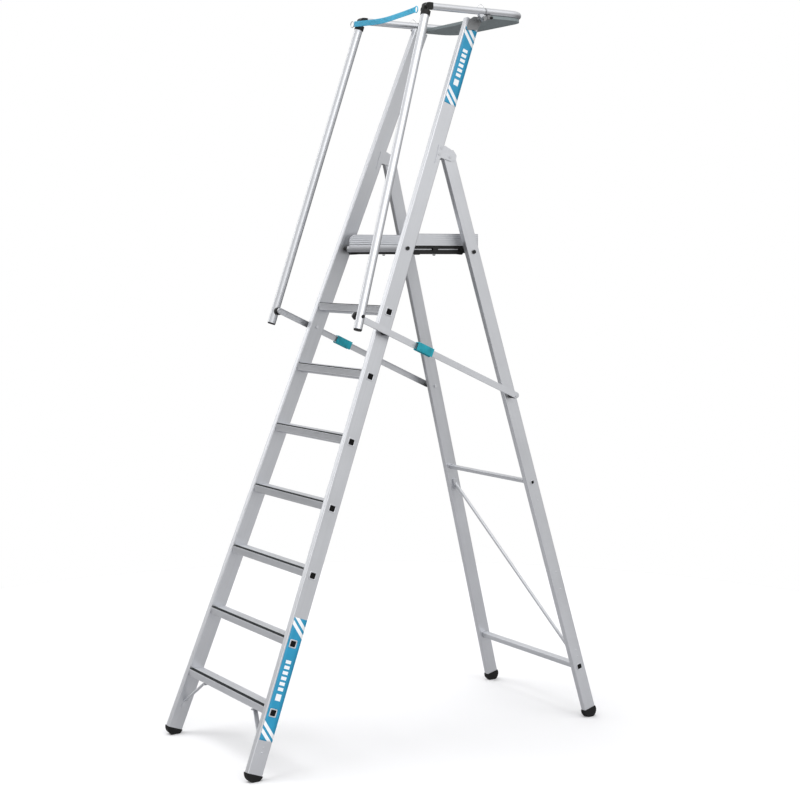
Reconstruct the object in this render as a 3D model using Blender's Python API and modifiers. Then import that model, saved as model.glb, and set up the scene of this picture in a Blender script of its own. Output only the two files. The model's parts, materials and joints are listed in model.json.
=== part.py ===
"""Folding platform step ladder with guard rails: two front stiles with seven treads, a hinged
platform with kick boards, a folding rear frame held by link bars with locking sleeves, hand rails,
side arms, a rear rail with a tool tray, and a safety strap.

Metres, Z up. The climber stands at -Y and faces +Y. The left and right sides lean inwards, so
each side is drawn flat in its own side plane: w is outwards, y is rearwards, h is up the slope.
"""

import math

import bmesh
import bpy
from mathutils import Matrix, Vector

# Sizes, metres -------------------------------------------------------------------------------
GAP = 0.0003  # clearance between pieces that touch

# Sides of the ladder
HALF_BASE = 0.354  # outer face of a stile at the floor, from the centre plane
TAPER = 0.058  # inward lean of each side, per metre of height
STILE_RUN = 0.3811  # rearward run of the stiles, per metre of height
LEG_RUN = 0.2763  # forward run of the rear legs, per metre of height
FOOTPRINT = 1.605  # floor distance from the stile's front edge to the leg's rear edge
STILE_TOP = 2.781  # height of the stile's front top corner
STILE_W = 0.025
STILE_D = 0.062
STILE_WALL = 0.0022
LEG_W = 0.0244
LEG_D = 0.053
LEG_WALL = 0.0022
STILE_END = 0.040  # distance along a stile from the floor line to its lower end
LEG_END = 0.030
EDGE_R = 0.003

# Treads
TREADS = 7
TREAD_PITCH = 0.237
TREAD_FIRST = 0.257  # top of the first tread
TREAD_D = 0.057
TREAD_SKIN = 0.0025
TREAD_LIP = 0.026
TREAD_BACK_LIP = 0.016
STRIP_W = 0.016  # groove for the rubber strip
STRIP_DEEP = 0.0010
SPIGOT = 0.0264  # square spigot through the stile
SPIGOT_WALL = 0.0022
SPIGOT_DROP = 0.021  # spigot centre below the tread's top
FLARE = 0.0262
FLARE_T = 0.0018

# Hinge of the rear frame
HINGE_Z = 2.240
HINGE_PIN_R = 0.006
PLATE_T = 0.003

# Rear frame
CROSS_LOW_Z = 0.213
CROSS_LOW = 0.024
CROSS_UP_Z = 0.974
CROSS_UP = 0.016
CROSS_WALL = 0.002
BRACE_R = 0.0065
BRACE_TOP_Z = 0.900
BRACE_BOTTOM_Z = 0.270

# Platform
DECK_TOP = 1.905
DECK_NOSE = 0.026  # nose behind the stile's front edge
DECK_REAR = 1.111  # rear edge of the deck
DECK_HALF = HALF_BASE - 0.1785
DECK_SKIN = 0.003
DECK_RIB = 0.0025
DECK_H = 0.020
FRAME_T = 0.0165
FRAME_H = 0.035
BOARD_H = 0.045
BOARD_T = 0.004
BOLT_A_Z = 1.894
BOLT_B_Z = 1.881
BOLT_R = 0.005
HEAD_R = 0.008

# Link bars
PIVOT_C_Z = 1.584  # front bar on the stile
PIVOT_E_Z = 1.323  # rear bar on the leg
REACH_H = 0.1526  # front bar from the stile pivot forward to the hand rail
FLAT_DEG = 35.5  # swing of the rear frame at which the bars would lie flat on each other
BAR_H = 0.0235
BAR_W = 0.0075
BAR_SKIN = 0.0018
STANDOFF = 0.026  # inner face of the front bar outside the stile
SLEEVE_FROM = 0.134
SLEEVE_TO = 0.207
SLEEVE_H = 0.032
SLEEVE_SKIN = 0.0024
LINK_PIN_R = 0.004
LINK_PLAY = 0.0036  # room beside the bars at their ends on the leg and on the hand rail
PLATE_RELIEF = 0.0013  # depth ground off the hinge plates where the leg turns between them

# Rails
RAIL_R = 0.016
RAIL_WALL = 0.002
ARM_R = 0.0135
ARM_WALL = 0.002
ARM_X = HALF_BASE - 0.118  # plane of the side arms
ARM_Z = 2.795
KNUCKLE_Y = 0.845
RAIL_SPLAY = 0.0805  # outward run of a hand rail per metre downwards
RAIL_OUT = 0.002  # hand rail outboard of the side arm at the knuckle
RAIL_BELOW = 0.046  # hand rail below its lower pivot
ARM_PIVOT_Y = 1.103
ARM_PIVOT_Z = 2.768
ARM_END_Y = 1.101
REAR_RAIL_Y = 1.301
REAR_RAIL_BEND = 0.070
TRAY_Z = 2.7700
TRAY_SKIN = 0.0025
TRAY_FRONT = 1.124
STRAP_H = 0.021
STRAP_T = 0.002
STRAP_SAG = 0.012

# Derived -------------------------------------------------------------------------------------
TILT = math.atan(TAPER)
CT = math.cos(TILT)
ST = math.sin(TILT)
LEAN = math.atan2(1.0, STILE_RUN * CT)  # stile from level, in the side plane
LEG_LEAN = math.atan2(1.0, LEG_RUN * CT)
STILE_DY = STILE_D / math.sin(LEAN)  # level depth of a stile
LEG_DY = LEG_D / math.sin(LEG_LEAN)

ALUMINIUM = ((0.62, 0.63, 0.65), 0.38, 1.0)
BRIGHT = ((0.80, 0.80, 0.82), 0.18, 1.0)
BLACK = ((0.015, 0.015, 0.014), 0.55, 0.0)
DARK = ((0.10, 0.11, 0.11), 0.45, 0.6)
TEAL = ((0.02, 0.30, 0.38), 0.45, 0.0)
BLUE = ((0.05, 0.45, 0.78), 0.80, 0.0)
CHROME = ((0.75, 0.76, 0.78), 0.12, 1.0)

SIDES = {"R": 1, "L": -1}


def clear_scene():
    for obj in list(bpy.data.objects):
        bpy.data.objects.remove(obj, do_unlink=True)
    for name in ("Collection",):
        found = bpy.data.collections.get(name)
        if found:
            bpy.data.collections.remove(found)


def new_collection(name, parent=None):
    made = bpy.data.collections.new(name)
    (parent or bpy.context.scene.collection).children.link(made)
    return made


clear_scene()
LADDER = new_collection("platform_step_ladder")
CUTTERS = new_collection("cutters")


# Places --------------------------------------------------------------------------------------
def side_frame(side):
    """Matrix from (w, y, h) of one side plane to the ladder's frame."""
    return Matrix(
        (
            (side * CT, 0.0, -side * ST, side * HALF_BASE),
            (0.0, 1.0, 0.0, 0.0),
            (ST, 0.0, CT, 0.0),
            (0.0, 0.0, 0.0, 1.0),
        )
    )


def stile_axes():
    """Matrix with columns w, across the stile, up the stile, in the side plane."""
    s, c = math.sin(LEAN), math.cos(LEAN)
    return Matrix(((1, 0, 0, 0), (0, s, c, 0), (0, -c, s, 0), (0, 0, 0, 1)))


def leg_axes():
    """Matrix with columns w, across the leg, up the leg, from the leg's front floor corner."""
    s, c = math.sin(LEG_LEAN), math.cos(LEG_LEAN)
    front = FOOTPRINT - LEG_DY
    return Matrix(((1, 0, 0, 0), (0, s, -c, front), (0, c, s, 0), (0, 0, 0, 1)))


def outer_x(z):
    """Outer face of a stile at height z."""
    return HALF_BASE - TAPER * z


def stile_front(z):
    return STILE_RUN * z


def stile_mid(z):
    return STILE_RUN * z + STILE_DY / 2


def leg_mid(z):
    return FOOTPRINT - LEG_RUN * z - LEG_DY / 2


def tread_top(k):
    return TREAD_FIRST + TREAD_PITCH * k


# Pivots in side view, (y, z) -----------------------------------------------------------------
HINGE = Vector((leg_mid(HINGE_Z), HINGE_Z))
BOLT_A = Vector((stile_mid(BOLT_A_Z), BOLT_A_Z))
BOLT_B = Vector((leg_mid(BOLT_B_Z), BOLT_B_Z))
PIVOT_C = Vector((stile_mid(PIVOT_C_Z), PIVOT_C_Z))
PIVOT_E = Vector((leg_mid(PIVOT_E_Z), PIVOT_E_Z))


def turned(point, centre, degrees):
    """A side-view point turned about a centre, from +Y towards +Z."""
    a = math.radians(degrees)
    d = point - centre
    return centre + Vector(
        (d.x * math.cos(a) - d.y * math.sin(a), d.x * math.sin(a) + d.y * math.cos(a))
    )


PIVOT_E_FOLDED = turned(PIVOT_E, HINGE, -FLAT_DEG)
BAR_DIR = (PIVOT_E - PIVOT_C).normalized()
# The bars are in line when open and would lie on each other when flat.
FRONT_REACH = ((PIVOT_E - PIVOT_C).length - (PIVOT_E_FOLDED - PIVOT_C).length) / 2
PIVOT_J = PIVOT_C + BAR_DIR * FRONT_REACH
PIVOT_H = PIVOT_C - BAR_DIR * REACH_H
KNUCKLE = Vector((KNUCKLE_Y, ARM_Z))
ARM_PIVOT = Vector((ARM_PIVOT_Y, ARM_PIVOT_Z))


def rail_x(z):
    """Centre plane of a hand rail at height z."""
    return ARM_X + RAIL_OUT + RAIL_SPLAY * (ARM_Z - z)


# Makers --------------------------------------------------------------------------------------
def material(name, look):
    colour, roughness, metallic = look
    made = bpy.data.materials.new(name)
    made.use_nodes = True
    shader = made.node_tree.nodes["Principled BSDF"]
    shader.inputs["Base Color"].default_value = (*colour, 1.0)
    shader.inputs["Roughness"].default_value = roughness
    shader.inputs["Metallic"].default_value = metallic
    return made


def extrusion(loops, length):
    """Filled 2D outlines in x, y, drawn out from z = 0 to z = length."""
    curve = bpy.data.curves.new("outline", "CURVE")
    curve.dimensions = "2D"
    curve.fill_mode = "BOTH"
    curve.extrude = length / 2
    for loop in loops:
        spline = curve.splines.new("POLY")
        spline.points.add(len(loop) - 1)
        for point, (x, y) in zip(spline.points, loop):
            point.co = (x, y, 0.0, 1.0)
        spline.use_cyclic_u = True
    holder = bpy.data.objects.new("outline", curve)
    CUTTERS.objects.link(holder)
    bpy.context.view_layer.update()
    graph = bpy.context.evaluated_depsgraph_get()
    mesh = bpy.data.meshes.new_from_object(holder.evaluated_get(graph))
    bpy.data.objects.remove(holder, do_unlink=True)
    made = bmesh.new()
    made.from_mesh(mesh)
    bpy.data.meshes.remove(mesh)
    bmesh.ops.remove_doubles(made, verts=made.verts, dist=1e-6)
    bmesh.ops.translate(made, verts=made.verts, vec=(0, 0, length / 2))
    bmesh.ops.recalc_face_normals(made, faces=made.faces)
    return made


def box(x, y, z):
    """Box between the pairs x, y and z."""
    made = bmesh.new()
    size = Matrix.Diagonal((x[1] - x[0], y[1] - y[0], z[1] - z[0], 1.0))
    middle = Matrix.Translation(((x[0] + x[1]) / 2, (y[0] + y[1]) / 2, (z[0] + z[1]) / 2))
    bmesh.ops.create_cube(made, size=1.0, matrix=middle @ size)
    return made


def rod(radius, start, end, segments=16, end_radius=None):
    """Round bar between two points."""
    made = bmesh.new()
    start, end = Vector(start), Vector(end)
    along = end - start
    turn = along.to_track_quat("Z", "Y").to_matrix().to_4x4()
    bmesh.ops.create_cone(
        made,
        cap_ends=True,
        segments=segments,
        radius1=radius,
        radius2=radius if end_radius is None else end_radius,
        depth=along.length,
        matrix=Matrix.Translation((start + end) / 2) @ turn,
    )
    return made


def cross_rod(radius, x0, x1, point, segments=16):
    """Round bar along X through a side-view point."""
    low, high = sorted((x0, x1))
    return rod(radius, (low, point.x, point.y), (high, point.x, point.y), segments)


def merged(*pieces):
    """Several bmeshes in one, for cutters and shapes that do not touch."""
    made = bmesh.new()
    for piece in pieces:
        mesh = bpy.data.meshes.new("part")
        piece.to_mesh(mesh)
        piece.free()
        made.from_mesh(mesh)
        bpy.data.meshes.remove(mesh)
    return made


def moved(piece, matrix):
    """A bmesh carried by a matrix, its faces kept outwards."""
    piece.transform(matrix)
    if matrix.to_3x3().determinant() < 0:
        bmesh.ops.reverse_faces(piece, faces=piece.faces)
    return piece


def to_object(name, piece, collection, origin):
    mesh = bpy.data.meshes.new(name)
    piece.transform(Matrix.Translation(-Vector(origin)))
    piece.to_mesh(mesh)
    piece.free()
    mesh.shade_smooth()
    mesh.set_sharp_from_angle(angle=math.radians(32))
    made = bpy.data.objects.new(name, mesh)
    made.location = origin
    collection.objects.link(made)
    return made


def node(name, piece, look, origin=(0, 0, 0)):
    made = to_object(name, piece, LADDER, origin)
    made.data.materials.append(material(name, look))
    return made


def boolean(target, piece, operation):
    """A live Boolean of the target with a bmesh."""
    count = len(target.modifiers)
    helper = to_object(f"{target.name}_{operation.lower()}_{count}", piece, CUTTERS, (0, 0, 0))
    helper.hide_render = True
    helper.display_type = "WIRE"
    step = target.modifiers.new(helper.name, "BOOLEAN")
    step.operation = operation
    step.solver = "EXACT"
    step.object = helper


def cut(target, piece):
    boolean(target, piece, "DIFFERENCE")


def join(target, piece):
    boolean(target, piece, "UNION")


# Outlines ------------------------------------------------------------------------------------
def rounded_rectangle(x, y, radius, steps=2):
    """Outline between the pairs x and y, with rounded corners."""
    points = []
    corners = ((x[1], y[1], 0), (x[0], y[1], 90), (x[0], y[0], 180), (x[1], y[0], 270))
    for cx, cy, start in corners:
        ox = cx - radius if cx == x[1] else cx + radius
        oy = cy - radius if cy == y[1] else cy + radius
        for i in range(steps + 1):
            a = math.radians(start + 90 * i / steps)
            points.append((ox + radius * math.cos(a), oy + radius * math.sin(a)))
    return points


def rectangle(x, y):
    return [(x[0], y[0]), (x[1], y[0]), (x[1], y[1]), (x[0], y[1])]


def slot_outline(start, end, radius, steps=8):
    """Outline of a strip with round ends about two points."""
    along = (end - start).normalized()
    base = math.atan2(along.y, along.x)
    points = []
    for centre, turn in ((end, -90), (start, 90)):
        for i in range(steps + 1):
            a = base + math.radians(turn + 180 * i / steps)
            points.append((centre.x + radius * math.cos(a), centre.y + radius * math.sin(a)))
    return points


def plate(outline, side, w0, w1):
    """A (y, z) outline as a plate of the side plane, from w0 to w1."""
    loops = [[(y, z / CT) for y, z in loop] for loop in outline]
    made = extrusion(loops, w1 - w0)
    # The outline's x, y become y, h and its z becomes w.
    turn = Matrix(((0, 0, 1, w0), (1, 0, 0, 0), (0, 1, 0, 0), (0, 0, 0, 1)))
    return moved(made, side_frame(side) @ turn)


def level_prism(loops, x0, x1):
    """A (y, z) outline drawn out level from x0 to x1."""
    made = extrusion(loops, x1 - x0)
    turn = Matrix(((0, 0, 1, x0), (1, 0, 0, 0), (0, 1, 0, 0), (0, 0, 0, 1)))
    return moved(made, turn)


def square_loops(centre, size, wall, turn):
    """Square tube section about a side-view point, turned from level."""
    loops = []
    for half in (size / 2, size / 2 - wall):
        loops.append(
            [
                (
                    centre.x + a * math.cos(turn) - b * math.sin(turn),
                    centre.y + a * math.sin(turn) + b * math.cos(turn),
                )
                for a, b in ((-half, -half), (half, -half), (half, half), (-half, half))
            ]
        )
    return loops


def floor_cut():
    return box((-1, 1), (-1, 3), (-0.2, 0.0))


# Front frame ---------------------------------------------------------------------------------
STILE_TURN = LEAN - math.pi / 2
LEG_TURN = math.pi / 2 - LEG_LEAN


def spigot_centre(k):
    z = tread_top(k) - SPIGOT_DROP
    return Vector((stile_mid(z), z))


def pin_holes(radius, points, side):
    """Round cutters along X through one side of the ladder."""
    holes = []
    for point in points:
        x = outer_x(point.y)
        holes.append(cross_rod(radius, side * (x - 0.045), side * (x + 0.015), point))
    return holes


def spigot_holes(points, size, turn, side):
    holes = []
    for point in points:
        x = outer_x(point.y)
        low, high = sorted((side * (x - 0.045), side * (x + 0.015)))
        holes.append(level_prism([square_loops(point, size + 2 * GAP, 0, turn)[0]], low, high))
    return holes


def build_stile(tag, side):
    length = STILE_TOP / math.sin(math.atan2(1.0, STILE_RUN)) - STILE_END
    outer = rounded_rectangle((-STILE_W, 0), (0, STILE_D), EDGE_R)
    inner = rectangle((STILE_WALL - STILE_W, -STILE_WALL), (STILE_WALL, STILE_D - STILE_WALL))
    piece = extrusion([outer, inner], length)
    lift = Matrix.Translation((0, 0, STILE_END))
    stile = node(f"stile_{tag}", moved(piece, side_frame(side) @ stile_axes() @ lift), ALUMINIUM)
    centres = [spigot_centre(k) for k in range(TREADS)]
    cut(stile, merged(*spigot_holes(centres, SPIGOT, STILE_TURN, side)))
    bolts = pin_holes(BOLT_R + GAP, [BOLT_A], side) + pin_holes(LINK_PIN_R + GAP, [PIVOT_C], side)
    cut(stile, merged(*bolts))


def tread_outline(front, top):
    """Level section of a tread: skin, front and back lips, strip groove and centre web."""
    back = front + TREAD_D
    skin = top - TREAD_SKIN
    groove = top - STRIP_DEEP
    web = front + STILE_DY / 2 - 0.002
    return [
        (front, top - TREAD_LIP),
        (front + TREAD_SKIN, top - TREAD_LIP),
        (front + TREAD_SKIN, skin),
        (web, skin),
        (web, top - SPIGOT_DROP),
        (web + 0.004, top - SPIGOT_DROP),
        (web + 0.004, skin + 0.0002),
        (back - TREAD_SKIN, skin + 0.0002),
        (back - TREAD_SKIN, top - TREAD_BACK_LIP),
        (back, top - TREAD_BACK_LIP),
        (back, top),
        (front + 0.0015 + STRIP_W, top),
        (front + 0.0015 + STRIP_W, groove),
        (front + 0.0015, groove),
        (front + 0.0015, top),
        (front, top - 0.001),
    ]


def build_tread(k):
    """One tread, its square tube carried through both stiles and flared outside them."""
    top = tread_top(k)
    half = outer_x(top) - STILE_W / CT - GAP
    front = stile_front(top)
    tread = node(f"tread_{k + 1}", level_prism([tread_outline(front, top)], -half, half), ALUMINIUM)
    centre = spigot_centre(k)
    reach = outer_x(centre.y) + 0.0012
    loops = square_loops(centre, SPIGOT, SPIGOT_WALL, STILE_TURN)
    bore = level_prism([loops[1]], -reach - 0.01, reach + 0.01)
    join(tread, level_prism([loops[0]], -reach, reach))
    for side in SIDES.values():
        rim = square_loops(centre, FLARE, 0, STILE_TURN)[0]
        join(tread, plate([rim], side, GAP, FLARE_T))
    cut(tread, bore)


def build_tread_brace(tag, side):
    """Bent strip from under the first tread out to the stile."""
    top = Vector((0.215, tread_top(0) - SPIGOT_DROP - SPIGOT * 0.645 - GAP))
    low_z = 0.128
    inner = outer_x(low_z) - STILE_W / CT - GAP
    t = 0.003
    loop = [
        (top.x - 0.020, top.y),
        (top.x - 0.020, top.y - t),
        (top.x, top.y - t),
        (inner - t, low_z),
        (inner - t + 0.020 * TAPER, low_z - 0.022),
        (inner + 0.020 * TAPER, low_z - 0.022),
        (inner, low_z + t),
        (top.x + 0.002, top.y),
    ]
    piece = extrusion([loop], 0.016)
    # The outline's x, y become X, Z; the strip follows the stile's lean.
    y0 = stile_mid(top.y)
    lean = Matrix(
        ((1, 0, 0, 0), (0, STILE_RUN, 1, y0 - 0.008 - STILE_RUN * top.y), (0, 1, 0, 0), (0, 0, 0, 1))
    )
    flip = Matrix.Diagonal((side, 1, 1, 1))
    node(f"tread_brace_{tag}", moved(piece, flip @ lean), ALUMINIUM)


def foot_outline(depth, end, across, up):
    """Half-moon below a profile's cut end, in (y, h): across and up are unit vectors."""
    radius = depth / 2 + 0.0025
    middle = depth / 2
    # Height of the arc's centre along the profile, so that the arc dips just below the floor.
    centre_up = (radius - 0.0026 - middle * across.y) / up.y
    half = math.sqrt(radius**2 - (centre_up - end) ** 2)
    start = math.atan2(end - centre_up, half)
    stop = math.atan2(end - centre_up, -half)
    if stop > 0:
        stop -= 2 * math.pi
    points = []
    steps = 14
    for i in range(steps + 1):
        a = start + (stop - start) * i / steps
        v = middle + radius * math.cos(a)
        u = centre_up + radius * math.sin(a)
        point = across * v + up * u
        points.append((point.x, point.y))
    return points


def build_foot(name, side, axes, depth, width, w_out, end, wall):
    """Black foot: a half-moon sole and a plug inside the profile."""
    across = Vector((axes[1][1], axes[2][1]))
    up = Vector((axes[1][2], axes[2][2]))
    base = Vector((axes[1][3], 0))
    loop = [
        (x + base.x, h) for x, h in foot_outline(depth, end - GAP, across, up)
    ]
    over = 0.0012
    turn = Matrix(((0, 0, 1, w_out - width - over), (1, 0, 0, 0), (0, 1, 0, 0), (0, 0, 0, 1)))
    piece = moved(extrusion([loop], width + 2 * over), side_frame(side) @ turn)
    foot = node(name, piece, BLACK)
    w = (w_out - width + wall + GAP, w_out - wall - GAP)
    v = (wall + GAP, depth - wall - GAP)
    join(foot, moved(box(w, v, (end - 0.010, end + 0.025)), side_frame(side) @ axes))
    cut(foot, floor_cut())


def build_gusset(tag, side):
    """Hinge bracket: outer and inner plates on the stile, joined by rivets and the hinge pin."""
    y, z = HINGE
    edge = STILE_DY
    upper, lower = z + 0.042, z - 0.004
    loop = [
        (stile_front(upper) + edge - 0.026, upper + 0.004),
        (stile_front(upper) + edge + 0.002, upper),
        (y + 0.020, z + 0.021),
        (y + 0.030, z + 0.006),
        (y + 0.026, z - 0.012),
        (y + 0.004, z - 0.016),
        (stile_front(lower) + edge - 0.001, lower),
        (stile_front(lower - 0.020) + edge - 0.022, lower - 0.020),
    ]
    gusset = node(f"gusset_{tag}", plate([loop], side, GAP, PLATE_T), ALUMINIUM, (0, y, z))
    inner = (-STILE_W - PLATE_T, -STILE_W - GAP)
    join(gusset, plate([loop], side, *inner))
    foot, head = z - 0.045, z + 0.065
    turn_room = [
        (stile_front(foot) + edge + 0.001, foot),
        (y + 0.050, foot),
        (y + 0.050, head),
        (stile_front(head) + edge + 0.001, head),
    ]
    cut(gusset, plate([turn_room], side, -STILE_W - PLATE_RELIEF, PLATE_RELIEF))
    x = outer_x(z)
    pin = cross_rod(HINGE_PIN_R, side * (x - STILE_W - PLATE_T), side * (x + PLATE_T + 0.002), HINGE)
    join(gusset, pin)
    rivets = []
    for lift, back in ((0.034, 0.011), (0.010, 0.013)):
        spot = Vector((stile_front(z + lift) + edge - back, z + lift))
        rx = outer_x(spot.y)
        rivets.append(cross_rod(0.004, side * (rx - STILE_W - PLATE_T), side * (rx + 0.0045), spot, 12))
        rivets.append(cross_rod(0.0062, side * (rx + 0.002), side * (rx + 0.0048), spot, 12))
    for rivet in rivets:
        join(gusset, rivet)
    stile = bpy.data.objects[f"stile_{tag}"]
    holes = []
    for lift, back in ((0.034, 0.011), (0.010, 0.013)):
        spot = Vector((stile_front(z + lift) + edge - back, z + lift))
        holes += pin_holes(0.004 + GAP, [spot], side)
    cut(stile, merged(*holes))


# Rear frame ----------------------------------------------------------------------------------
def cross_centre(z):
    return Vector((leg_mid(z), z))


def build_leg(tag, side):
    axes = leg_axes()
    outer = rounded_rectangle((-GAP - LEG_W, -GAP), (0, LEG_D), EDGE_R)
    inner = rectangle(
        (-GAP - LEG_W + LEG_WALL, -GAP - LEG_WALL), (LEG_WALL, LEG_D - LEG_WALL)
    )
    up = math.sin(math.atan2(1.0, LEG_RUN))
    length = HINGE_Z / up + 0.018 - LEG_END
    piece = extrusion([outer, inner], length)
    place = side_frame(side) @ axes @ Matrix.Translation((0, 0, LEG_END))
    pivot = (0, HINGE.x, HINGE.y)
    leg = node(f"leg_{tag}", moved(piece, place), ALUMINIUM, pivot)
    cut(leg, merged(*pin_holes(HINGE_PIN_R + GAP, [HINGE], side)))
    for z, size in ((CROSS_LOW_Z, CROSS_LOW), (CROSS_UP_Z, CROSS_UP)):
        cut(leg, merged(*spigot_holes([cross_centre(z)], size, LEG_TURN, side)))
    cut(leg, merged(*pin_holes(BOLT_R + GAP, [BOLT_B], side)))
    cut(leg, merged(*pin_holes(LINK_PIN_R + GAP, [PIVOT_E], side)))


def build_crossbar(name, z, size):
    """Square tube through both legs, flared outside them."""
    centre = cross_centre(z)
    reach = outer_x(z) + 0.0009
    loops = square_loops(centre, size, CROSS_WALL, LEG_TURN)
    pivot = (0, HINGE.x, HINGE.y)
    bar = node(name, level_prism([loops[0]], -reach, reach), ALUMINIUM, pivot)
    for side in SIDES.values():
        rim = square_loops(centre, size + 0.004, 0, LEG_TURN)[0]
        join(bar, plate([rim], side, GAP, FLARE_T))
    cut(bar, level_prism([loops[1]], -reach - 0.01, reach + 0.01))


def build_diagonal():
    """Round brace across the rear frame with flattened ends on the legs' inner faces."""
    top = Vector((-(outer_x(BRACE_TOP_Z) - LEG_W / CT - 0.006), leg_mid(BRACE_TOP_Z), BRACE_TOP_Z))
    low_x = outer_x(BRACE_BOTTOM_Z) - LEG_W / CT - 0.006
    low = Vector((low_x, leg_mid(BRACE_BOTTOM_Z), BRACE_BOTTOM_Z))
    pivot = (0, HINGE.x, HINGE.y)
    brace = node("rear_diagonal", rod(BRACE_R, top, low, 12), ALUMINIUM, pivot)
    for side, end in ((-1, top), (1, low)):
        loop = slot_outline(
            Vector((end.y + 0.004, end.z - 0.016)), Vector((end.y - 0.004, end.z + 0.016)), 0.009, 4
        )
        w = -LEG_W - 2 * GAP
        join(brace, plate([loop], side, w - 0.0075, w))


def build_rest_pin(tag, side):
    """Black bolt through the rear leg that carries the platform's hook."""
    x = outer_x(BOLT_B.y)
    pivot = (0, HINGE.x, HINGE.y)
    pin = node(
        f"rest_pin_{tag}",
        cross_rod(BOLT_R, side * (DECK_HALF + 0.0005), side * (x + 0.004), BOLT_B, 12),
        BLACK,
        pivot,
    )
    join(pin, cross_rod(HEAD_R, side * (x + 0.0012), side * (x + 0.0052), BOLT_B, 6))
    inner = x - (LEG_W + 2 * GAP) / CT - 0.0012
    join(pin, cross_rod(HEAD_R, side * (inner - 0.006), side * inner, BOLT_B, 12))


# Platform ------------------------------------------------------------------------------------
DECK_FRONT = stile_front(DECK_TOP) + DECK_NOSE
PLATFORM_PIVOT = (0, BOLT_A.x, BOLT_A.y)


def deck_outline():
    """Level section of the deck: grooved skin, ribs below and a deep nose."""
    top, skin, foot = DECK_TOP, DECK_TOP - DECK_SKIN, DECK_TOP - DECK_H
    ribs = 6
    pitch = (DECK_REAR - DECK_FRONT - DECK_RIB) / ribs
    points = []
    for i in range(ribs + 1):
        y = DECK_FRONT + pitch * i
        points += [(y, foot), (y + DECK_RIB, foot)]
        if i < ribs:
            points += [(y + DECK_RIB, skin), (y + pitch, skin)]
    grooves = 12
    step = (DECK_REAR - DECK_FRONT) / grooves
    for i in range(grooves):
        y = DECK_REAR - step * i
        groove = top - 0.0012
        points += [(y, top), (y - step + 0.004, top), (y - step + 0.003, groove)]
        points += [(y - step + 0.001, groove)]
    points.append((DECK_FRONT, top))
    return points


def build_deck():
    node(
        "deck",
        level_prism([deck_outline()], -DECK_HALF + GAP, DECK_HALF - GAP),
        ALUMINIUM,
        PLATFORM_PIVOT,
    )


def frame_outline():
    """Side frame of the platform in side view, with a hook over the rear pin."""
    top, low = DECK_TOP, DECK_TOP - FRAME_H
    pin = BOLT_B
    jaw = BOLT_R + GAP
    front = DECK_FRONT
    back = DECK_REAR
    return [
        (front, top - 0.012),
        (front + 0.012, top),
        (back, top),
        (back, low + 0.012),
        (pin.x + 0.022, low),
        (pin.x + jaw + 0.002, low),
        (pin.x + jaw, pin.y),
        (pin.x + jaw * 0.7, pin.y + jaw * 0.8),
        (pin.x, pin.y + jaw * 1.03),
        (pin.x - jaw * 0.7, pin.y + jaw * 0.8),
        (pin.x - jaw - 0.004, pin.y - 0.002),
        (pin.x - 0.019, low),
        (pin.x - 0.036, low + 0.002),
        (front + 0.050, low + 0.002),
        (front + 0.008, low),
        (front, low + 0.010),
    ]


def build_end_frame(tag, side):
    inner, outer = DECK_HALF, DECK_HALF + FRAME_T
    low, high = sorted((side * inner, side * outer))
    piece = level_prism([frame_outline()], low, high)
    frame = node(f"end_frame_{tag}", piece, BLACK, PLATFORM_PIVOT)
    holes = [cross_rod(BOLT_R + GAP, side * (inner - 0.01), side * (outer + 0.01), BOLT_A, 12)]
    cut(frame, merged(*holes))
    # Two long recesses in the outer face, either side of a centre boss.
    span = (stile_front(DECK_TOP) + STILE_DY + 0.012, BOLT_B.x - 0.030)
    middle = (span[0] + span[1]) / 2
    z = (DECK_TOP - 0.020, DECK_TOP - 0.009)
    x = sorted((side * (outer - 0.006), side * (outer + 0.01)))
    slots = [
        box(x, (span[0], middle - 0.012), z),
        box(x, (middle + 0.012, span[1]), z),
    ]
    cut(frame, merged(*slots))


def build_kick_boards():
    """Boards standing on the deck along both sides and the rear."""
    z0 = DECK_TOP + GAP
    z1 = z0 + BOARD_H
    r = 0.030
    start = stile_front(DECK_TOP) + 0.032
    end = DECK_REAR
    loop = [(start, z0)]
    for i in range(6):
        a = math.radians(180 - 18 * i)
        loop.append((start + r + r * math.cos(a), z1 - r + r * math.sin(a)))
    loop += [(end, z1), (end, z0)]
    outer = DECK_HALF + FRAME_T - 0.0008
    for tag, side in SIDES.items():
        low, high = sorted((side * outer, side * (outer - BOARD_T)))
        node(f"kick_board_{tag}", level_prism([loop], low, high), ALUMINIUM, PLATFORM_PIVOT)
    rear = rectangle((end + GAP, end + GAP + BOARD_T), (DECK_TOP - DECK_H, z1))
    node("kick_board_rear", level_prism([rear], -outer, outer), ALUMINIUM, PLATFORM_PIVOT)


def build_platform_bolt(tag, side):
    """Black bolt through the stile on which the platform turns."""
    x = outer_x(BOLT_A.y)
    inner = x - STILE_W / CT
    spacer = (DECK_HALF + FRAME_T + GAP, inner - 0.0012)
    bolt = node(
        f"platform_bolt_{tag}",
        cross_rod(BOLT_R, side * (DECK_HALF + 0.0005), side * (x + 0.004), BOLT_A, 12),
        BLACK,
        PLATFORM_PIVOT,
    )
    join(bolt, cross_rod(HEAD_R, side * (x + 0.0012), side * (x + 0.0052), BOLT_A, 6))
    join(bolt, cross_rod(HEAD_R, side * spacer[0], side * spacer[1], BOLT_A, 12))


# Link bars -----------------------------------------------------------------------------------
FRONT_W = (STANDOFF, STANDOFF + BAR_W)
REAR_W = (STANDOFF + BAR_W + 2 * GAP, STANDOFF + 2 * BAR_W + 2 * GAP)


def bar_pieces(start, end, side, w):
    """Outer shape and inner pocket of a channel bar with round ends."""
    body = plate([slot_outline(start, end, BAR_H / 2)], side, *w)
    pocket = plate(
        [slot_outline(start, end, BAR_H / 2 - BAR_SKIN)], side, w[0] - 0.004, w[1] - BAR_SKIN
    )
    return body, pocket


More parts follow.
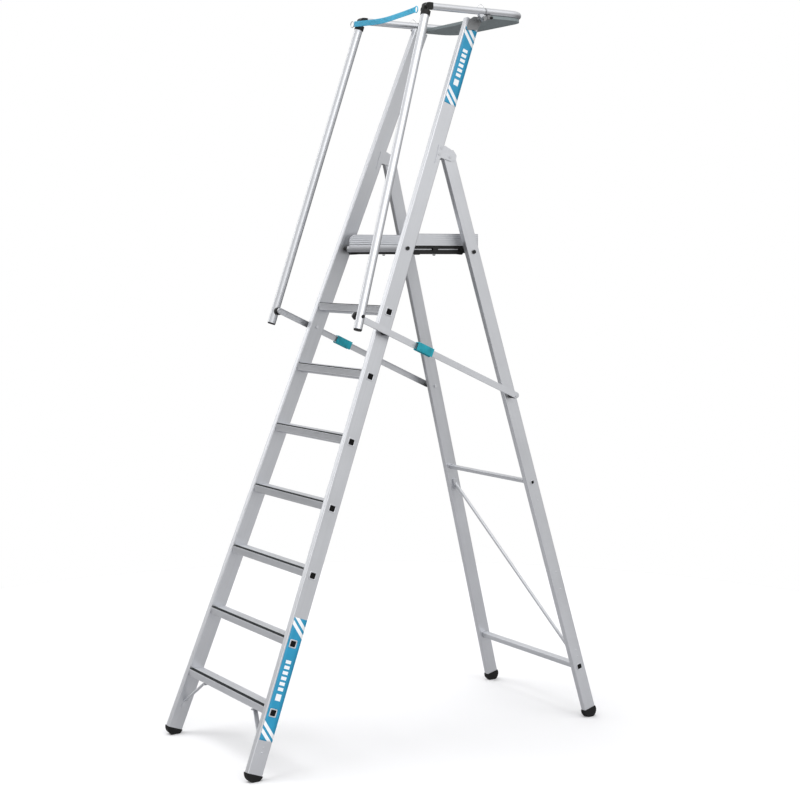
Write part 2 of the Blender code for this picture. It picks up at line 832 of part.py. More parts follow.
def build_front_bar(tag, side):
    """Channel bar from the hand rail over the stile pivot to the knee."""
    body, pocket = bar_pieces(PIVOT_H, PIVOT_J, side, FRONT_W)
    bar = node(f"front_bar_{tag}", body, ALUMINIUM, (0, PIVOT_J.x, PIVOT_J.y))
    cut(bar, pocket)
    w1 = FRONT_W[1]
    stop = PIVOT_C + BAR_DIR * (SLEEVE_FROM - 0.015)
    x = outer_x(stop.y)
    join(bar, cross_rod(0.005, side * (x + w1 - 0.001), side * (x + w1 + GAP), stop, 12))
    xj = outer_x(PIVOT_J.y)
    hole = (side * (xj + FRONT_W[0] - 0.004), side * (xj + w1 + 0.004))
    cut(bar, cross_rod(LINK_PIN_R + GAP, *hole, PIVOT_J, 12))


def build_rear_bar(tag, side):
    """Channel bar from the knee back to the leg pivot."""
    body, pocket = bar_pieces(PIVOT_J, PIVOT_E, side, REAR_W)
    bar = node(f"rear_bar_{tag}", body, ALUMINIUM, (0, PIVOT_E.x, PIVOT_E.y))
    cut(bar, pocket)
    w1 = REAR_W[1]
    x = outer_x(PIVOT_E.y)
    join(bar, cross_rod(0.0065, side * (x + w1 - 0.001), side * (x + w1 + 0.0026), PIVOT_E, 12))
    xj = outer_x(PIVOT_J.y)
    join(bar, cross_rod(0.005, side * (xj + w1 - 0.001), side * (xj + w1 + 0.0015), PIVOT_J, 12))
    join(bar, cross_rod(LINK_PIN_R, side * (xj + FRONT_W[0]), side * (xj + w1 - 0.001), PIVOT_J, 12))


def bar_box(along, across, w, side):
    """Box in the bars' own frame: along and across the bars from the stile pivot, and w."""
    a = math.atan2(BAR_DIR.y / CT, BAR_DIR.x)
    c, s = math.cos(a), math.sin(a)
    frame = Matrix(
        (
            (0, 0, 1, 0),
            (c, -s, 0, PIVOT_C.x),
            (s, c, 0, PIVOT_C.y / CT),
            (0, 0, 0, 1),
        )
    )
    return moved(box(along, across, w), side_frame(side) @ frame)


def build_sleeve(tag, side):
    """Sleeve round the front bar at the knee. Its roof stops the rear bar in line with the front
    bar, and the slot below lets the rear bar swing down and out."""
    skin = SLEEVE_SKIN
    clear = 0.0005
    w = (FRONT_W[0] - clear - skin, REAR_W[1] + 0.0034 + skin)
    half = SLEEVE_H / 2
    along = (SLEEVE_FROM, SLEEVE_TO)
    middle = PIVOT_C + BAR_DIR * (SLEEVE_FROM + SLEEVE_TO) / 2
    sleeve = node(
        f"lock_sleeve_{tag}",
        bar_box(along, (-half, half), w, side),
        TEAL,
        (0, middle.x, middle.y),
    )
    edges = sleeve.modifiers.new("edges", "BEVEL")
    edges.width = 0.0012
    edges.segments = 1
    past = (SLEEVE_FROM - 0.01, SLEEVE_TO + 0.01)
    inside = (w[0] + skin, w[1] - skin)
    room = BAR_H / 2 + clear
    cut(sleeve, bar_box(past, (-room, room), inside, side))
    slot = (FRONT_W[1] - 0.0015, inside[1])
    cut(sleeve, bar_box(past, (-half - 0.01, -room + 0.002), slot, side))


def build_front_pivot(tag, side):
    """Pivot of the front bar: black spacer outside the stile and a rivet through it."""
    x = outer_x(PIVOT_C.y)
    inner = x - STILE_W / CT
    pivot = (0, PIVOT_C.x, PIVOT_C.y)
    piece = cross_rod(0.0125, side * (x + 0.0012), side * (x + STANDOFF - 0.001), PIVOT_C, 20)
    spacer = node(f"front_pivot_{tag}", piece, BLACK, pivot)
    join(spacer, cross_rod(LINK_PIN_R, side * (inner - 0.003), side * (x + 0.010), PIVOT_C, 12))
    join(spacer, cross_rod(0.007, side * (inner - 0.0042), side * (inner - 0.0012), PIVOT_C, 12))


def build_rear_pivot(tag, side):
    """Pivot of the rear bar: black spacer outside the leg and its pin through the leg."""
    x = outer_x(PIVOT_E.y)
    inner = x - (LEG_W + 2 * GAP) / CT
    pivot = (0, HINGE.x, HINGE.y)
    spacer_end = x + REAR_W[0] - LINK_PLAY
    piece = cross_rod(0.011, side * (x + 0.0012), side * spacer_end, PIVOT_E, 20)
    spacer = node(f"rear_pivot_{tag}", piece, BLACK, pivot)
    join(spacer, cross_rod(LINK_PIN_R, side * (inner - 0.003), side * (x + 0.010), PIVOT_E, 12))
    join(spacer, cross_rod(0.007, side * (inner - 0.0042), side * (inner - 0.0012), PIVOT_E, 12))


# Rails ---------------------------------------------------------------------------------------
def rail_point(side, z):
    """Point of a hand rail's axis at height z."""
    run = (KNUCKLE.x - PIVOT_H.x) / (KNUCKLE.y - PIVOT_H.y)
    return Vector((side * rail_x(z), KNUCKLE.x - run * (KNUCKLE.y - z), z))


RAIL_TOP = ARM_Z - 0.030
RAIL_BOTTOM = PIVOT_H.y - RAIL_BELOW
KNUCKLE_PIVOT = (0, KNUCKLE.x, KNUCKLE.y)


def build_hand_rail(tag, side):
    low, high = rail_point(side, RAIL_BOTTOM), rail_point(side, RAIL_TOP)
    rail = node(f"hand_rail_{tag}", rod(RAIL_R, low, high, 24), ALUMINIUM, KNUCKLE_PIVOT)
    past = (high - low).normalized() * 0.02
    cut(rail, rod(RAIL_R - RAIL_WALL, low - past, high + past, 24))
    x = rail_x(PIVOT_H.y)
    cut(rail, cross_rod(LINK_PIN_R + GAP, side * (x - 0.03), side * (x + 0.03), PIVOT_H, 12))


def build_rail_cap(tag, side):
    low = rail_point(side, RAIL_BOTTOM)
    up = (rail_point(side, RAIL_TOP) - low).normalized()
    piece = rod(RAIL_R - 0.0015, low - up * 0.006, low - up * GAP, 24, RAIL_R)
    cap = node(f"rail_cap_{tag}", piece, BLACK, KNUCKLE_PIVOT)
    join(cap, rod(RAIL_R - RAIL_WALL - GAP, low - up * 0.003, low + up * 0.018, 24))


def build_rail_pivot(tag, side):
    """Black knob between link bar and hand rail, with its bolt through the rail."""
    x = rail_x(PIVOT_H.y)
    inner = outer_x(PIVOT_H.y) + FRONT_W[1] + LINK_PLAY
    outer = x - RAIL_R - 0.0018
    piece = cross_rod(0.015, side * inner, side * outer, PIVOT_H, 24)
    knob = node(f"rail_pivot_{tag}", piece, BLACK, KNUCKLE_PIVOT)
    join(knob, cross_rod(LINK_PIN_R, side * (outer - 0.004), side * (x + RAIL_R + 0.004), PIVOT_H, 12))
    head = (x + RAIL_R + 0.0016, x + RAIL_R + 0.0046)
    join(knob, cross_rod(0.0065, side * head[0], side * head[1], PIVOT_H, 12))


FORK = 0.0090  # half width of the tongue between the arm's cheeks


def build_rail_knuckle(tag, side):
    """Black cap on the hand rail's top with a tongue that turns in the arm's fork."""
    high = rail_point(side, RAIL_TOP)
    up = (high - rail_point(side, RAIL_BOTTOM)).normalized()
    piece = rod(RAIL_R + 0.0022, high - up * 0.006, high + up * 0.012, 24)
    knuckle = node(f"rail_knuckle_{tag}", piece, BLACK, KNUCKLE_PIVOT)
    cut(knuckle, rod(RAIL_R + GAP, high - up * 0.02, high + up * GAP, 24))
    loop = slot_outline(Vector((high.y, high.z + 0.0145)), KNUCKLE, 0.013, 8)
    x = side * ARM_X
    join(knuckle, level_prism([loop], x - FORK, x + FORK))
    cut(knuckle, cross_rod(LINK_PIN_R + GAP, x - 0.03, x + 0.03, KNUCKLE, 12))


def build_side_arm(tag, side):
    """Side arm: tube, black fork in front, and a lug below its rear end on the arm pivot."""
    x = side * ARM_X
    pivot = (0, ARM_PIVOT.x, ARM_PIVOT.y)
    start, end = KNUCKLE.x + 0.020, ARM_END_Y
    arm = node(
        f"side_arm_{tag}", rod(ARM_R, (x, start, ARM_Z), (x, end, ARM_Z), 24), ALUMINIUM, pivot
    )
    join(arm, box((x - 0.0075, x + 0.0075), (end - 0.028, end - 0.002), (ARM_PIVOT.y + 0.004, ARM_Z)))
    lug = slot_outline(ARM_PIVOT + Vector((-0.0135, 0.012)), ARM_PIVOT, 0.0095, 6)
    join(arm, level_prism([lug], x - 0.0075, x + 0.0075))
    cut(arm, rod(ARM_R - ARM_WALL, (x, start - 0.02, ARM_Z), (x, end + 0.02, ARM_Z), 24))
    cut(arm, cross_rod(BOLT_R + GAP, x - 0.03, x + 0.03, ARM_PIVOT, 12))


def build_arm_fork(tag, side):
    """Black fork plugged into the arm's front end, holding the knuckle pin."""
    x = side * ARM_X
    pivot = (0, ARM_PIVOT.x, ARM_PIVOT.y)
    start = KNUCKLE.x + 0.020
    cheek = slot_outline(KNUCKLE, Vector((start - 0.004, ARM_Z)), 0.0125, 8)
    outer = ARM_R + 0.0022
    fork = node(f"arm_fork_{tag}", level_prism([cheek], x - outer, x + outer), BLACK, pivot)
    room = box((x - FORK - GAP, x + FORK + GAP), (KNUCKLE.x - 0.03, start - 0.0045), (2.7, 2.9))
    cut(fork, room)
    join(fork, cross_rod(LINK_PIN_R, x - outer - 0.001, x + outer + 0.001, KNUCKLE, 12))
    plug = ARM_R - ARM_WALL - GAP
    join(fork, rod(plug, (x, start - 0.003, ARM_Z), (x, start + 0.025, ARM_Z), 16))
    cut(fork, ring_cut(x, start))


def circle(radius, steps=24):
    turns = [2 * math.pi * i / steps for i in range(steps)]
    return [(radius * math.cos(a), radius * math.sin(a)) for a in turns]


def ring_cut(x, start):
    """Clears the arm tube's own wall from the fork."""
    tube = extrusion([circle(0.04), circle(ARM_R - ARM_WALL - GAP / 2)], 0.05)
    turn = Matrix(((1, 0, 0, x), (0, 0, 1, start - GAP), (0, 1, 0, ARM_Z), (0, 0, 0, 1)))
    return moved(tube, turn)


def build_top_bracket(tag, side):
    """Dark bracket on the stile's top with the arm pivot and a saddle for the rear rail."""
    x = outer_x(ARM_PIVOT.y)
    y, z = ARM_PIVOT
    low = z - 0.040
    loop = [
        (stile_front(low) + 0.012, low),
        (stile_front(low) + STILE_DY - 0.006, low),
        (y + 0.026, z + 0.002),
        (y + 0.030, z + 0.011),
        (y - 0.016, z + 0.011),
        (stile_front(z) + 0.012, z - 0.002),
    ]
    pivot = (0, y, z)
    bracket = node(f"top_bracket_{tag}", plate([loop], side, GAP, 0.0042), DARK, pivot)
    saddle = sorted((side * (x + 0.002), side * (ARM_X + 0.010)))
    top = ARM_Z - ARM_R - GAP
    join(bracket, box(saddle, (y + 0.0135, y + 0.029), (z - 0.002, top)))
    out = ARM_X + 0.0075 + 0.0065
    join(bracket, cross_rod(BOLT_R, side * (x + 0.001), side * (out - 0.002), ARM_PIVOT, 12))
    join(bracket, cross_rod(0.0085, side * (out - 0.0055), side * out, ARM_PIVOT, 12))


def rear_rail_path():
    """Half of the rear rail's centre line from the right arm round the corner to the centre."""
    x, y, r = ARM_X, REAR_RAIL_Y, REAR_RAIL_BEND
    points = [Vector((x, ARM_END_Y + 0.003, ARM_Z))]
    steps = 8
    for i in range(steps + 1):
        a = math.pi / 2 * i / steps
        points.append(Vector((x - r + r * math.cos(a), y - r + r * math.sin(a), ARM_Z)))
    left = [Vector((-p.x, p.y, p.z)) for p in reversed(points)]
    return points + left


def tube_along(points, radius, segments):
    """A round bar along a path, from a curve with filled caps."""
    curve = bpy.data.curves.new("path", "CURVE")
    curve.dimensions = "3D"
    curve.bevel_depth = radius
    curve.bevel_resolution = segments
    curve.use_fill_caps = True
    spline = curve.splines.new("POLY")
    spline.points.add(len(points) - 1)
    for point, at in zip(spline.points, points):
        point.co = (*at, 1.0)
    holder = bpy.data.objects.new("path", curve)
    CUTTERS.objects.link(holder)
    bpy.context.view_layer.update()
    graph = bpy.context.evaluated_depsgraph_get()
    mesh = bpy.data.meshes.new_from_object(holder.evaluated_get(graph))
    bpy.data.objects.remove(holder, do_unlink=True)
    made = bmesh.new()
    made.from_mesh(mesh)
    bpy.data.meshes.remove(mesh)
    bmesh.ops.remove_doubles(made, verts=made.verts, dist=1e-6)
    bmesh.ops.recalc_face_normals(made, faces=made.faces)
    return made


def build_rear_rail():
    path = rear_rail_path()
    rail = node("rear_rail", tube_along(path, ARM_R, 4), ALUMINIUM)
    inside = list(path)
    inside[0] = path[0] + Vector((0, -0.01, 0))
    inside[-1] = path[-1] + Vector((0, -0.01, 0))
    cut(rail, tube_along(inside, ARM_R - ARM_WALL, 4))


def tray_outline(inset):
    x, y, r = ARM_X - inset, REAR_RAIL_Y - inset, REAR_RAIL_BEND - inset
    front = TRAY_FRONT + max(inset, 0)
    points = [(-x, front), (x, front)]
    for i in range(7):
        a = math.pi / 2 * i / 6
        points.append((x - r + r * math.cos(a), y - r + r * math.sin(a)))
    for i in range(7):
        a = math.pi / 2 * (1 + i / 6)
        points.append((-x + r + r * math.cos(a), y - r + r * math.sin(a)))
    return points


def build_tray():
    """Tool tray under the rear rail: a floor with a low rim."""
    rim = ARM_Z - ARM_R - GAP
    piece = extrusion([tray_outline(-0.006)], rim - TRAY_Z)
    tray = node("tool_tray", moved(piece, Matrix.Translation((0, 0, TRAY_Z))), ALUMINIUM)
    pocket = extrusion([tray_outline(0.003)], 0.05)
    cut(tray, moved(pocket, Matrix.Translation((0, 0, TRAY_Z + TRAY_SKIN))))
    # Room for the top brackets at the front corners.
    for side in SIDES.values():
        x = sorted((side * (outer_x(TRAY_Z) - 0.006), side * (ARM_X + 0.03)))
        cut(tray, box(x, (TRAY_FRONT - 0.03, ARM_PIVOT.x + 0.033), (TRAY_Z - 0.02, rim + 0.02)))


STRAP_Y = KNUCKLE_Y - 0.028
STRAP_Z = ARM_Z - 0.012
STRAP_ENDS = (-ARM_X - 0.008, ARM_X - 0.036)


def strap_centre(t):
    """Strap centre line: t from 0 at the left end to 1 at the right."""
    x = STRAP_ENDS[0] + (STRAP_ENDS[1] - STRAP_ENDS[0]) * t
    return (x, STRAP_Z - STRAP_SAG * 4 * t * (1 - t))


def build_strap():
    steps = 16
    middle = [strap_centre(i / steps) for i in range(steps + 1)]
    lower = [(x, z - STRAP_H / 2) for x, z in middle]
    upper = [(x, z + STRAP_H / 2) for x, z in reversed(middle)]
    piece = extrusion([lower + upper], STRAP_T)
    turn = Matrix(((1, 0, 0, 0), (0, 0, -1, STRAP_Y), (0, 1, 0, 0), (0, 0, 0, 1)))
    node("safety_strap", moved(piece, turn), BLUE, KNUCKLE_PIVOT)


def ring_path(centre, width, height, steps=16):
    points = []
    for i in range(steps):
        a = 2 * math.pi * i / steps
        points.append(centre + Vector((width / 2 * math.cos(a), 0, height / 2 * math.sin(a))))
    return points


def wire_ring(points, radius):
    """A closed wire along a loop of points."""
    curve = bpy.data.curves.new("wire", "CURVE")
    curve.dimensions = "3D"
    curve.bevel_depth = radius
    curve.bevel_resolution = 1
    spline = curve.splines.new("POLY")
    spline.points.add(len(points) - 1)
    for point, at in zip(spline.points, points):
        point.co = (*at, 1.0)
    spline.use_cyclic_u = True
    holder = bpy.data.objects.new("wire", curve)
    CUTTERS.objects.link(holder)
    bpy.context.view_layer.update()
    graph = bpy.context.evaluated_depsgraph_get()
    mesh = bpy.data.meshes.new_from_object(holder.evaluated_get(graph))
    bpy.data.objects.remove(holder, do_unlink=True)
    made = bmesh.new()
    made.from_mesh(mesh)
    bpy.data.meshes.remove(mesh)
    bmesh.ops.remove_doubles(made, verts=made.verts, dist=1e-6)
    bmesh.ops.recalc_face_normals(made, faces=made.faces)
    return made


def build_strap_ring():
    """Chrome ring at the strap's left end."""
    pivot = (0, ARM_PIVOT.x, ARM_PIVOT.y)
    y = STRAP_Y - STRAP_T / 2
    left = Vector((STRAP_ENDS[0] - 0.0150, y, STRAP_Z))
    node("strap_ring", wire_ring(ring_path(left, 0.026, 0.024), 0.0016), CHROME, pivot)


def build_ladder():
    for tag, side in SIDES.items():
        build_stile(tag, side)
    for k in range(TREADS):
        build_tread(k)
    for tag, side in SIDES.items():
        build_tread_brace(tag, side)
        build_foot(
            f"foot_front_{tag}", side, stile_axes(), STILE_D, STILE_W, 0.0, STILE_END, STILE_WALL
        )
        build_foot(f"foot_rear_{tag}", side, leg_axes(), LEG_D, LEG_W, -GAP, LEG_END, LEG_WALL)
        build_gusset(tag, side)
        build_leg(tag, side)
        build_rest_pin(tag, side)
        build_end_frame(tag, side)
        build_platform_bolt(tag, side)
        build_front_bar(tag, side)
        build_rear_bar(tag, side)
        build_sleeve(tag, side)
        build_front_pivot(tag, side)
        build_rear_pivot(tag, side)
        build_hand_rail(tag, side)
        build_rail_cap(tag, side)
        build_rail_pivot(tag, side)
        build_rail_knuckle(tag, side)
        build_side_arm(tag, side)
        build_arm_fork(tag, side)
        build_top_bracket(tag, side)
    build_crossbar("crossbar_upper", CROSS_UP_Z, CROSS_UP)
    build_crossbar("crossbar_lower", CROSS_LOW_Z, CROSS_LOW)
    build_diagonal()
    build_deck()
    build_kick_boards()
    build_rear_rail()
    build_tray()
    build_strap()
    build_strap_ring()


def centre_on_footprint():
    """Moves the ladder so that it is centred front to back on the origin."""
    bpy.context.view_layer.update()
    graph = bpy.context.evaluated_depsgraph_get()
    reach = []
    for obj in LADDER.objects:
        shown = obj.evaluated_get(graph)
        reach += [(shown.matrix_world @ Vector(corner)).y for corner in shown.bound_box]
    middle = (min(reach) + max(reach)) / 2
    for obj in bpy.data.objects:
        obj.location.y -= middle


build_ladder()
centre_on_footprint()
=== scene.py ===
"""Looks of the folding platform step ladder: extruded aluminium, ribbed tread strips, vinyl bands, grooved
deck and kick boards, moulded sleeves and knuckles, round rails, woven safety strap, and the stage."""

import json
import math

import bmesh
import bpy
import numpy as np
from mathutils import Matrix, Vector


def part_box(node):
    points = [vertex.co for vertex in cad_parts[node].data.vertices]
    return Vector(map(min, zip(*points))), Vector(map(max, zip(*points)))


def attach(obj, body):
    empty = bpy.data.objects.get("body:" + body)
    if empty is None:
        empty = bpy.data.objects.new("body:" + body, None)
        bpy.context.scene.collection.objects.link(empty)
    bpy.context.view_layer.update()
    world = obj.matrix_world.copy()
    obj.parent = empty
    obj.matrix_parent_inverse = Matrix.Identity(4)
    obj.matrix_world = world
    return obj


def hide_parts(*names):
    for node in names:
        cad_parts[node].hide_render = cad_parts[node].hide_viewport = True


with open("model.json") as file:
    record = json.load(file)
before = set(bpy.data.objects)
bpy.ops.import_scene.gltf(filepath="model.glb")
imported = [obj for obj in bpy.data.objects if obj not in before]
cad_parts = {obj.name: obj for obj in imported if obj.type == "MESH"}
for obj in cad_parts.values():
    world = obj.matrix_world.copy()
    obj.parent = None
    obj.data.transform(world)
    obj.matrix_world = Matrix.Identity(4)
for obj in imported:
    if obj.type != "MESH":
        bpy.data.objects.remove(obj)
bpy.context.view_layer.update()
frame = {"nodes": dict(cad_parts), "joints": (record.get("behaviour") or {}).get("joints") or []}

bl_info = {
    "name": "Platform step ladder",
    "version": (1, 0, 0),
    "blender": (4, 5, 0),
    "location": "View3D > Sidebar > Ladder",
    "description": "Builds the visible pieces and finishes of a folding platform step ladder",
    "category": "Object",
}

# Places ----------------------------------------------------------------------------------------
JOINT = {joint["name"]: joint for joint in frame["joints"]}
HALF_BASE = 0.354  # outer face of a stile at the floor, from the centre plane
TAPER = 0.058  # inward lean of each side per metre of height
STILE_RUN = 0.3811  # rearward run of the stiles per metre of height
LEG_RUN = 0.2763  # forward run of the legs per metre of height
FOOTPRINT = 1.605  # from the stiles' front edge to the legs' rear edge, at the floor
STILE_D = 0.062  # depth of a stile's section, and LEG_D of a leg's
LEG_D = 0.053
STILE_W = 0.025  # width of a stile's section
GAP = 0.0003  # play between a tread's end and the stile
TREADS = 7
BOTTOM_TREAD = 0.257  # top of the lowest tread
TREAD_PITCH = 0.237
SPIGOT_DROP = 0.021  # centre of a tread's square tube below the tread's top
SPIGOT_HALF, SPIGOT_WALL, SPIGOT_CORNER = 0.0132, 0.0022, 0.0033
TREAD_DEPTH, TREAD_SKIN, TREAD_LIP = 0.057, 0.0025, 0.026
STRIP_START, STRIP_WIDTH = 0.0020, 0.0156
HOLE_HALF = 0.0128  # half the opening in a band round a square tube
BANDS = (("low", 0.152, 0.572), ("high", 2.452, 2.744))  # lower and upper ends of the printed bands
CROSS_TUBES = (("upper", 0.974, 0.016), ("lower", 0.213, 0.024))  # height and outer size
BRACE_RIVETS = (0.118, 0.100)  # heights of rivets on the stiles
LEG_RIVETS = (0.256, 0.282, 0.537, 0.607, 0.900)
REAR_PIVOT_Z = 1.323
RAIL_RADIUS, ARM_RADIUS, PIPE_WALL = 0.016, 0.0135, 0.002
RAIL_BEND = 0.070  # bend radius of the rear rail's corners
ACROSS, ALONG = (1, 0, 0), (0, 1, 0)
TILT = math.atan(TAPER)
CT, ST = math.cos(TILT), math.sin(TILT)
LEAN = math.atan2(1.0, STILE_RUN * CT)
LEG_LEAN = math.atan2(1.0, LEG_RUN * CT)
STILE_DY = STILE_D / math.sin(LEAN)
LEG_DY = LEG_D / math.sin(LEG_LEAN)
SIDES = (("R", 1), ("L", -1))


def pivot(name):
    """(y, z) of a joint's axis."""
    return np.array(JOINT[name]["pos_m"][1:])


HINGE = pivot("rear_frame_fold")
# Distance from the floor point under the stiles' front edge to the frame's origin.
SHIFT = HINGE[0] - (FOOTPRINT - LEG_RUN * HINGE[1] - LEG_DY / 2)
BOLT_A = pivot("platform_fold")
PIVOT_C = pivot("front_bar_swing_R")
KNEE = pivot("knee_R")
ARM_PIVOT = pivot("side_arm_swing_R")
KNUCKLE = pivot("hand_rail_swing_R")
ARM_X = JOINT["side_arm_swing_R"]["pos_m"][0]
BAR_DIR = (KNEE - PIVOT_C) / np.linalg.norm(KNEE - PIVOT_C)


def outer_x(z):
    """Outer face of a stile at height z."""
    return HALF_BASE - TAPER * z


def stile_front(z):
    return STILE_RUN * z + SHIFT


def stile_mid(z):
    return stile_front(z) + STILE_DY / 2


def leg_mid(z):
    return FOOTPRINT - LEG_RUN * z - LEG_DY / 2 + SHIFT


def in_side(points, side):
    """Points given as (w outwards, y, height z at w = 0) on one leaning side, in the frame:
    x = side (HALF_BASE - TAPER z + w cos tilt), and w lifts the point by w sin tilt."""
    w, y, z = points[..., 0], points[..., 1], points[..., 2]
    x = side * (outer_x(z) + w * CT)
    return np.stack([x, y, z + w * ST], axis=-1)


# Surfaces --------------------------------------------------------------------------------------
class Shell:
    """Collects grids of points into one mesh."""

    def __init__(self):
        self.points = []
        self.faces = []
        self.marks = []
        self.maps = []
        self.count = 0

    def grid(self, points, close_u=False, close_v=False, caps=False, mark=0, keep=None, map_uv=None):
        """A surface P(u, v) on a grid: each cell of four neighbours is one face. close_u and close_v
        join the last row to the first; caps closes both ends of u with one face each."""
        n, m = points.shape[:2]
        index = np.arange(n * m).reshape(n, m) + self.count
        rows = np.append(index, index[:1], axis=0) if close_u else index
        full = np.append(rows, rows[:, :1], axis=1) if close_v else rows
        a, b, c, d = full[:-1, :-1], full[1:, :-1], full[1:, 1:], full[:-1, 1:]
        quads = np.stack([a, b, c, d], axis=-1)
        if keep is not None:
            quads = quads[keep]
        quads = quads.reshape(-1, 4)
        faces = quads.tolist()
        if caps:
            faces.append(index[0].tolist())
            faces.append(index[-1][::-1].tolist())
        self.points.append(points.reshape(-1, 3))
        if map_uv is None:
            map_uv = np.zeros((n, m, 2))
        self.maps.append(map_uv.reshape(-1, 2))
        self.faces += faces
        self.marks += [mark] * len(faces)
        self.count += n * m

    def build(self, name, finishes, body, slot, replaced=(), smooth=35.0, outward=True):
        """Makes the object on a body, with edges sharper than smooth degrees left sharp."""
        mesh = bpy.data.meshes.new(name)
        mesh.from_pydata(np.concatenate(self.points).tolist(), [], self.faces)
        mesh.polygons.foreach_set("material_index", self.marks)
        layer = mesh.uv_layers.new(name="UVMap")
        corner = np.empty(len(mesh.loops), np.int32)
        mesh.loops.foreach_get("vertex_index", corner)
        layer.data.foreach_set("uv", np.concatenate(self.maps)[corner].ravel())
        if outward:
            work = bmesh.new()
            work.from_mesh(mesh)
            bmesh.ops.recalc_face_normals(work, faces=work.faces)
            work.to_mesh(mesh)
            work.free()
        mesh.shade_smooth()
        mesh.set_sharp_from_angle(angle=math.radians(smooth))
        made = bpy.data.objects.new(name, mesh)
        bpy.context.scene.collection.objects.link(made)
        for finish in finishes:
            mesh.materials.append(FINISH[finish])
        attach(made, body)
        if replaced:
            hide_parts(*replaced)
        return made


def rounded(corners, radius, steps=4):
    """Outline with each corner turned on a quadratic arc: it leaves and meets the two sides where a circle of
    the given radius would touch them."""
    corners = np.asarray(corners, float)
    before = np.roll(corners, 1, axis=0)
    after = np.roll(corners, -1, axis=0)
    into = (corners - before) / np.linalg.norm(corners - before, axis=1, keepdims=True)
    out = (after - corners) / np.linalg.norm(after - corners, axis=1, keepdims=True)
    dot = np.clip((into * out).sum(1), -0.999, 0.999)
    reach = radius * np.tan(np.arccos(dot) / 2)
    start = corners - into * reach[:, None]
    end = corners + out * reach[:, None]
    t = np.linspace(0, 1, steps + 1)[None, :, None]
    # A quadratic arc from start to end that leaves along each side.
    arc = (1 - t) ** 2 * start[:, None] + 2 * t * (1 - t) * corners[:, None] + t**2 * end[:, None]
    return arc.reshape(-1, 2)


def circle(radius, steps):
    a = np.arange(steps) * 2 * np.pi / steps
    return np.stack([radius * np.cos(a), radius * np.sin(a)], axis=-1)


def across_x(loop, x):
    """A (y, z) outline carried along X through the stations x."""
    x = np.asarray(x, float)
    grid = np.empty((len(x), len(loop), 3))
    grid[..., 0] = x[:, None]
    grid[..., 1:] = loop[None]
    return grid


def frames_along(path):
    """Two normals at each point of a path, the first one kept as level as it can be."""
    tangent = np.gradient(path, axis=0)
    tangent /= np.linalg.norm(tangent, axis=1, keepdims=True)
    up = np.array([0.0, 0.0, 1.0])
    if abs(tangent[:, 2]).max() > 0.92:
        up = np.array([1.0, 0.0, 0.0])
    side = np.cross(tangent, up)
    side /= np.linalg.norm(side, axis=1, keepdims=True)
    return side, np.cross(side, tangent)


def carried(profile, path):
    """A profile (a, b) carried along a path: P = path + a side + b lift."""
    side, lift = frames_along(path)
    a, b = profile[None, :, 0, None], profile[None, :, 1, None]
    return path[:, None] + a * side[:, None] + b * lift[:, None]


def straight(start, end, count):
    t = np.linspace(0, 1, count)[:, None]
    return np.asarray(start) * (1 - t) + np.asarray(end) * t


def tube(shell, path, radius, wall, steps=48, mark=0):
    """A round pipe: outer and inner circles carried along the path, joined at both ends."""
    outer = carried(circle(radius, steps), path)
    inner = carried(circle(radius - wall, steps), path)
    both = np.concatenate([outer, inner[::-1]])
    shell.grid(both, close_u=True, close_v=True, mark=mark)


def turned_piece(shell, start, end, radii, along, steps=32, mark=0):
    """A body of revolution about the line start-end: radius radii[i] at the share along[i]."""
    start, end = np.asarray(start, float), np.asarray(end, float)
    axis = end - start
    path = start + np.asarray(along)[:, None] * axis
    direction = axis / np.linalg.norm(axis)
    helper = np.array([0.0, 0.0, 1.0]) if abs(direction[2]) < 0.9 else np.array([0.0, 1.0, 0.0])
    u = np.cross(direction, helper)
    u /= np.linalg.norm(u)
    v = np.cross(direction, u)
    ring = circle(1.0, steps)
    spread = ring[:, 0, None] * u + ring[:, 1, None] * v
    points = path[:, None] + np.asarray(radii)[:, None, None] * spread[None]
    shell.grid(points, close_v=True, caps=True, mark=mark)


def dome(shell, at, outward, radius, height, mark=0):
    """A low rivet head: radius falls as the cosine and the height grows as the sine."""
    a = np.linspace(0, 1.45, 7)
    outward = np.asarray(outward, float)
    along = np.concatenate([[-0.12], np.sin(a)])
    radii = radius * np.concatenate([[1.0], np.cos(a)])
    turned_piece(shell, at, np.asarray(at) + outward * height, radii, along, 20, mark)


def square_ring(half_out, half_in, corner, turn, centre):
    """Outer and inner rounded squares about a centre, turned from level."""
    c, s = math.cos(turn), math.sin(turn)
    spin = np.array([[c, s], [-s, c]])
    square = np.array([[-1, -1], [1, -1], [1, 1], [-1, 1]], float)
    outer = rounded(square * half_out, corner, 5) @ spin + centre
    inner = rounded(square * half_in, max(corner - 0.0015, 0.001), 5) @ spin + centre
    return outer, inner


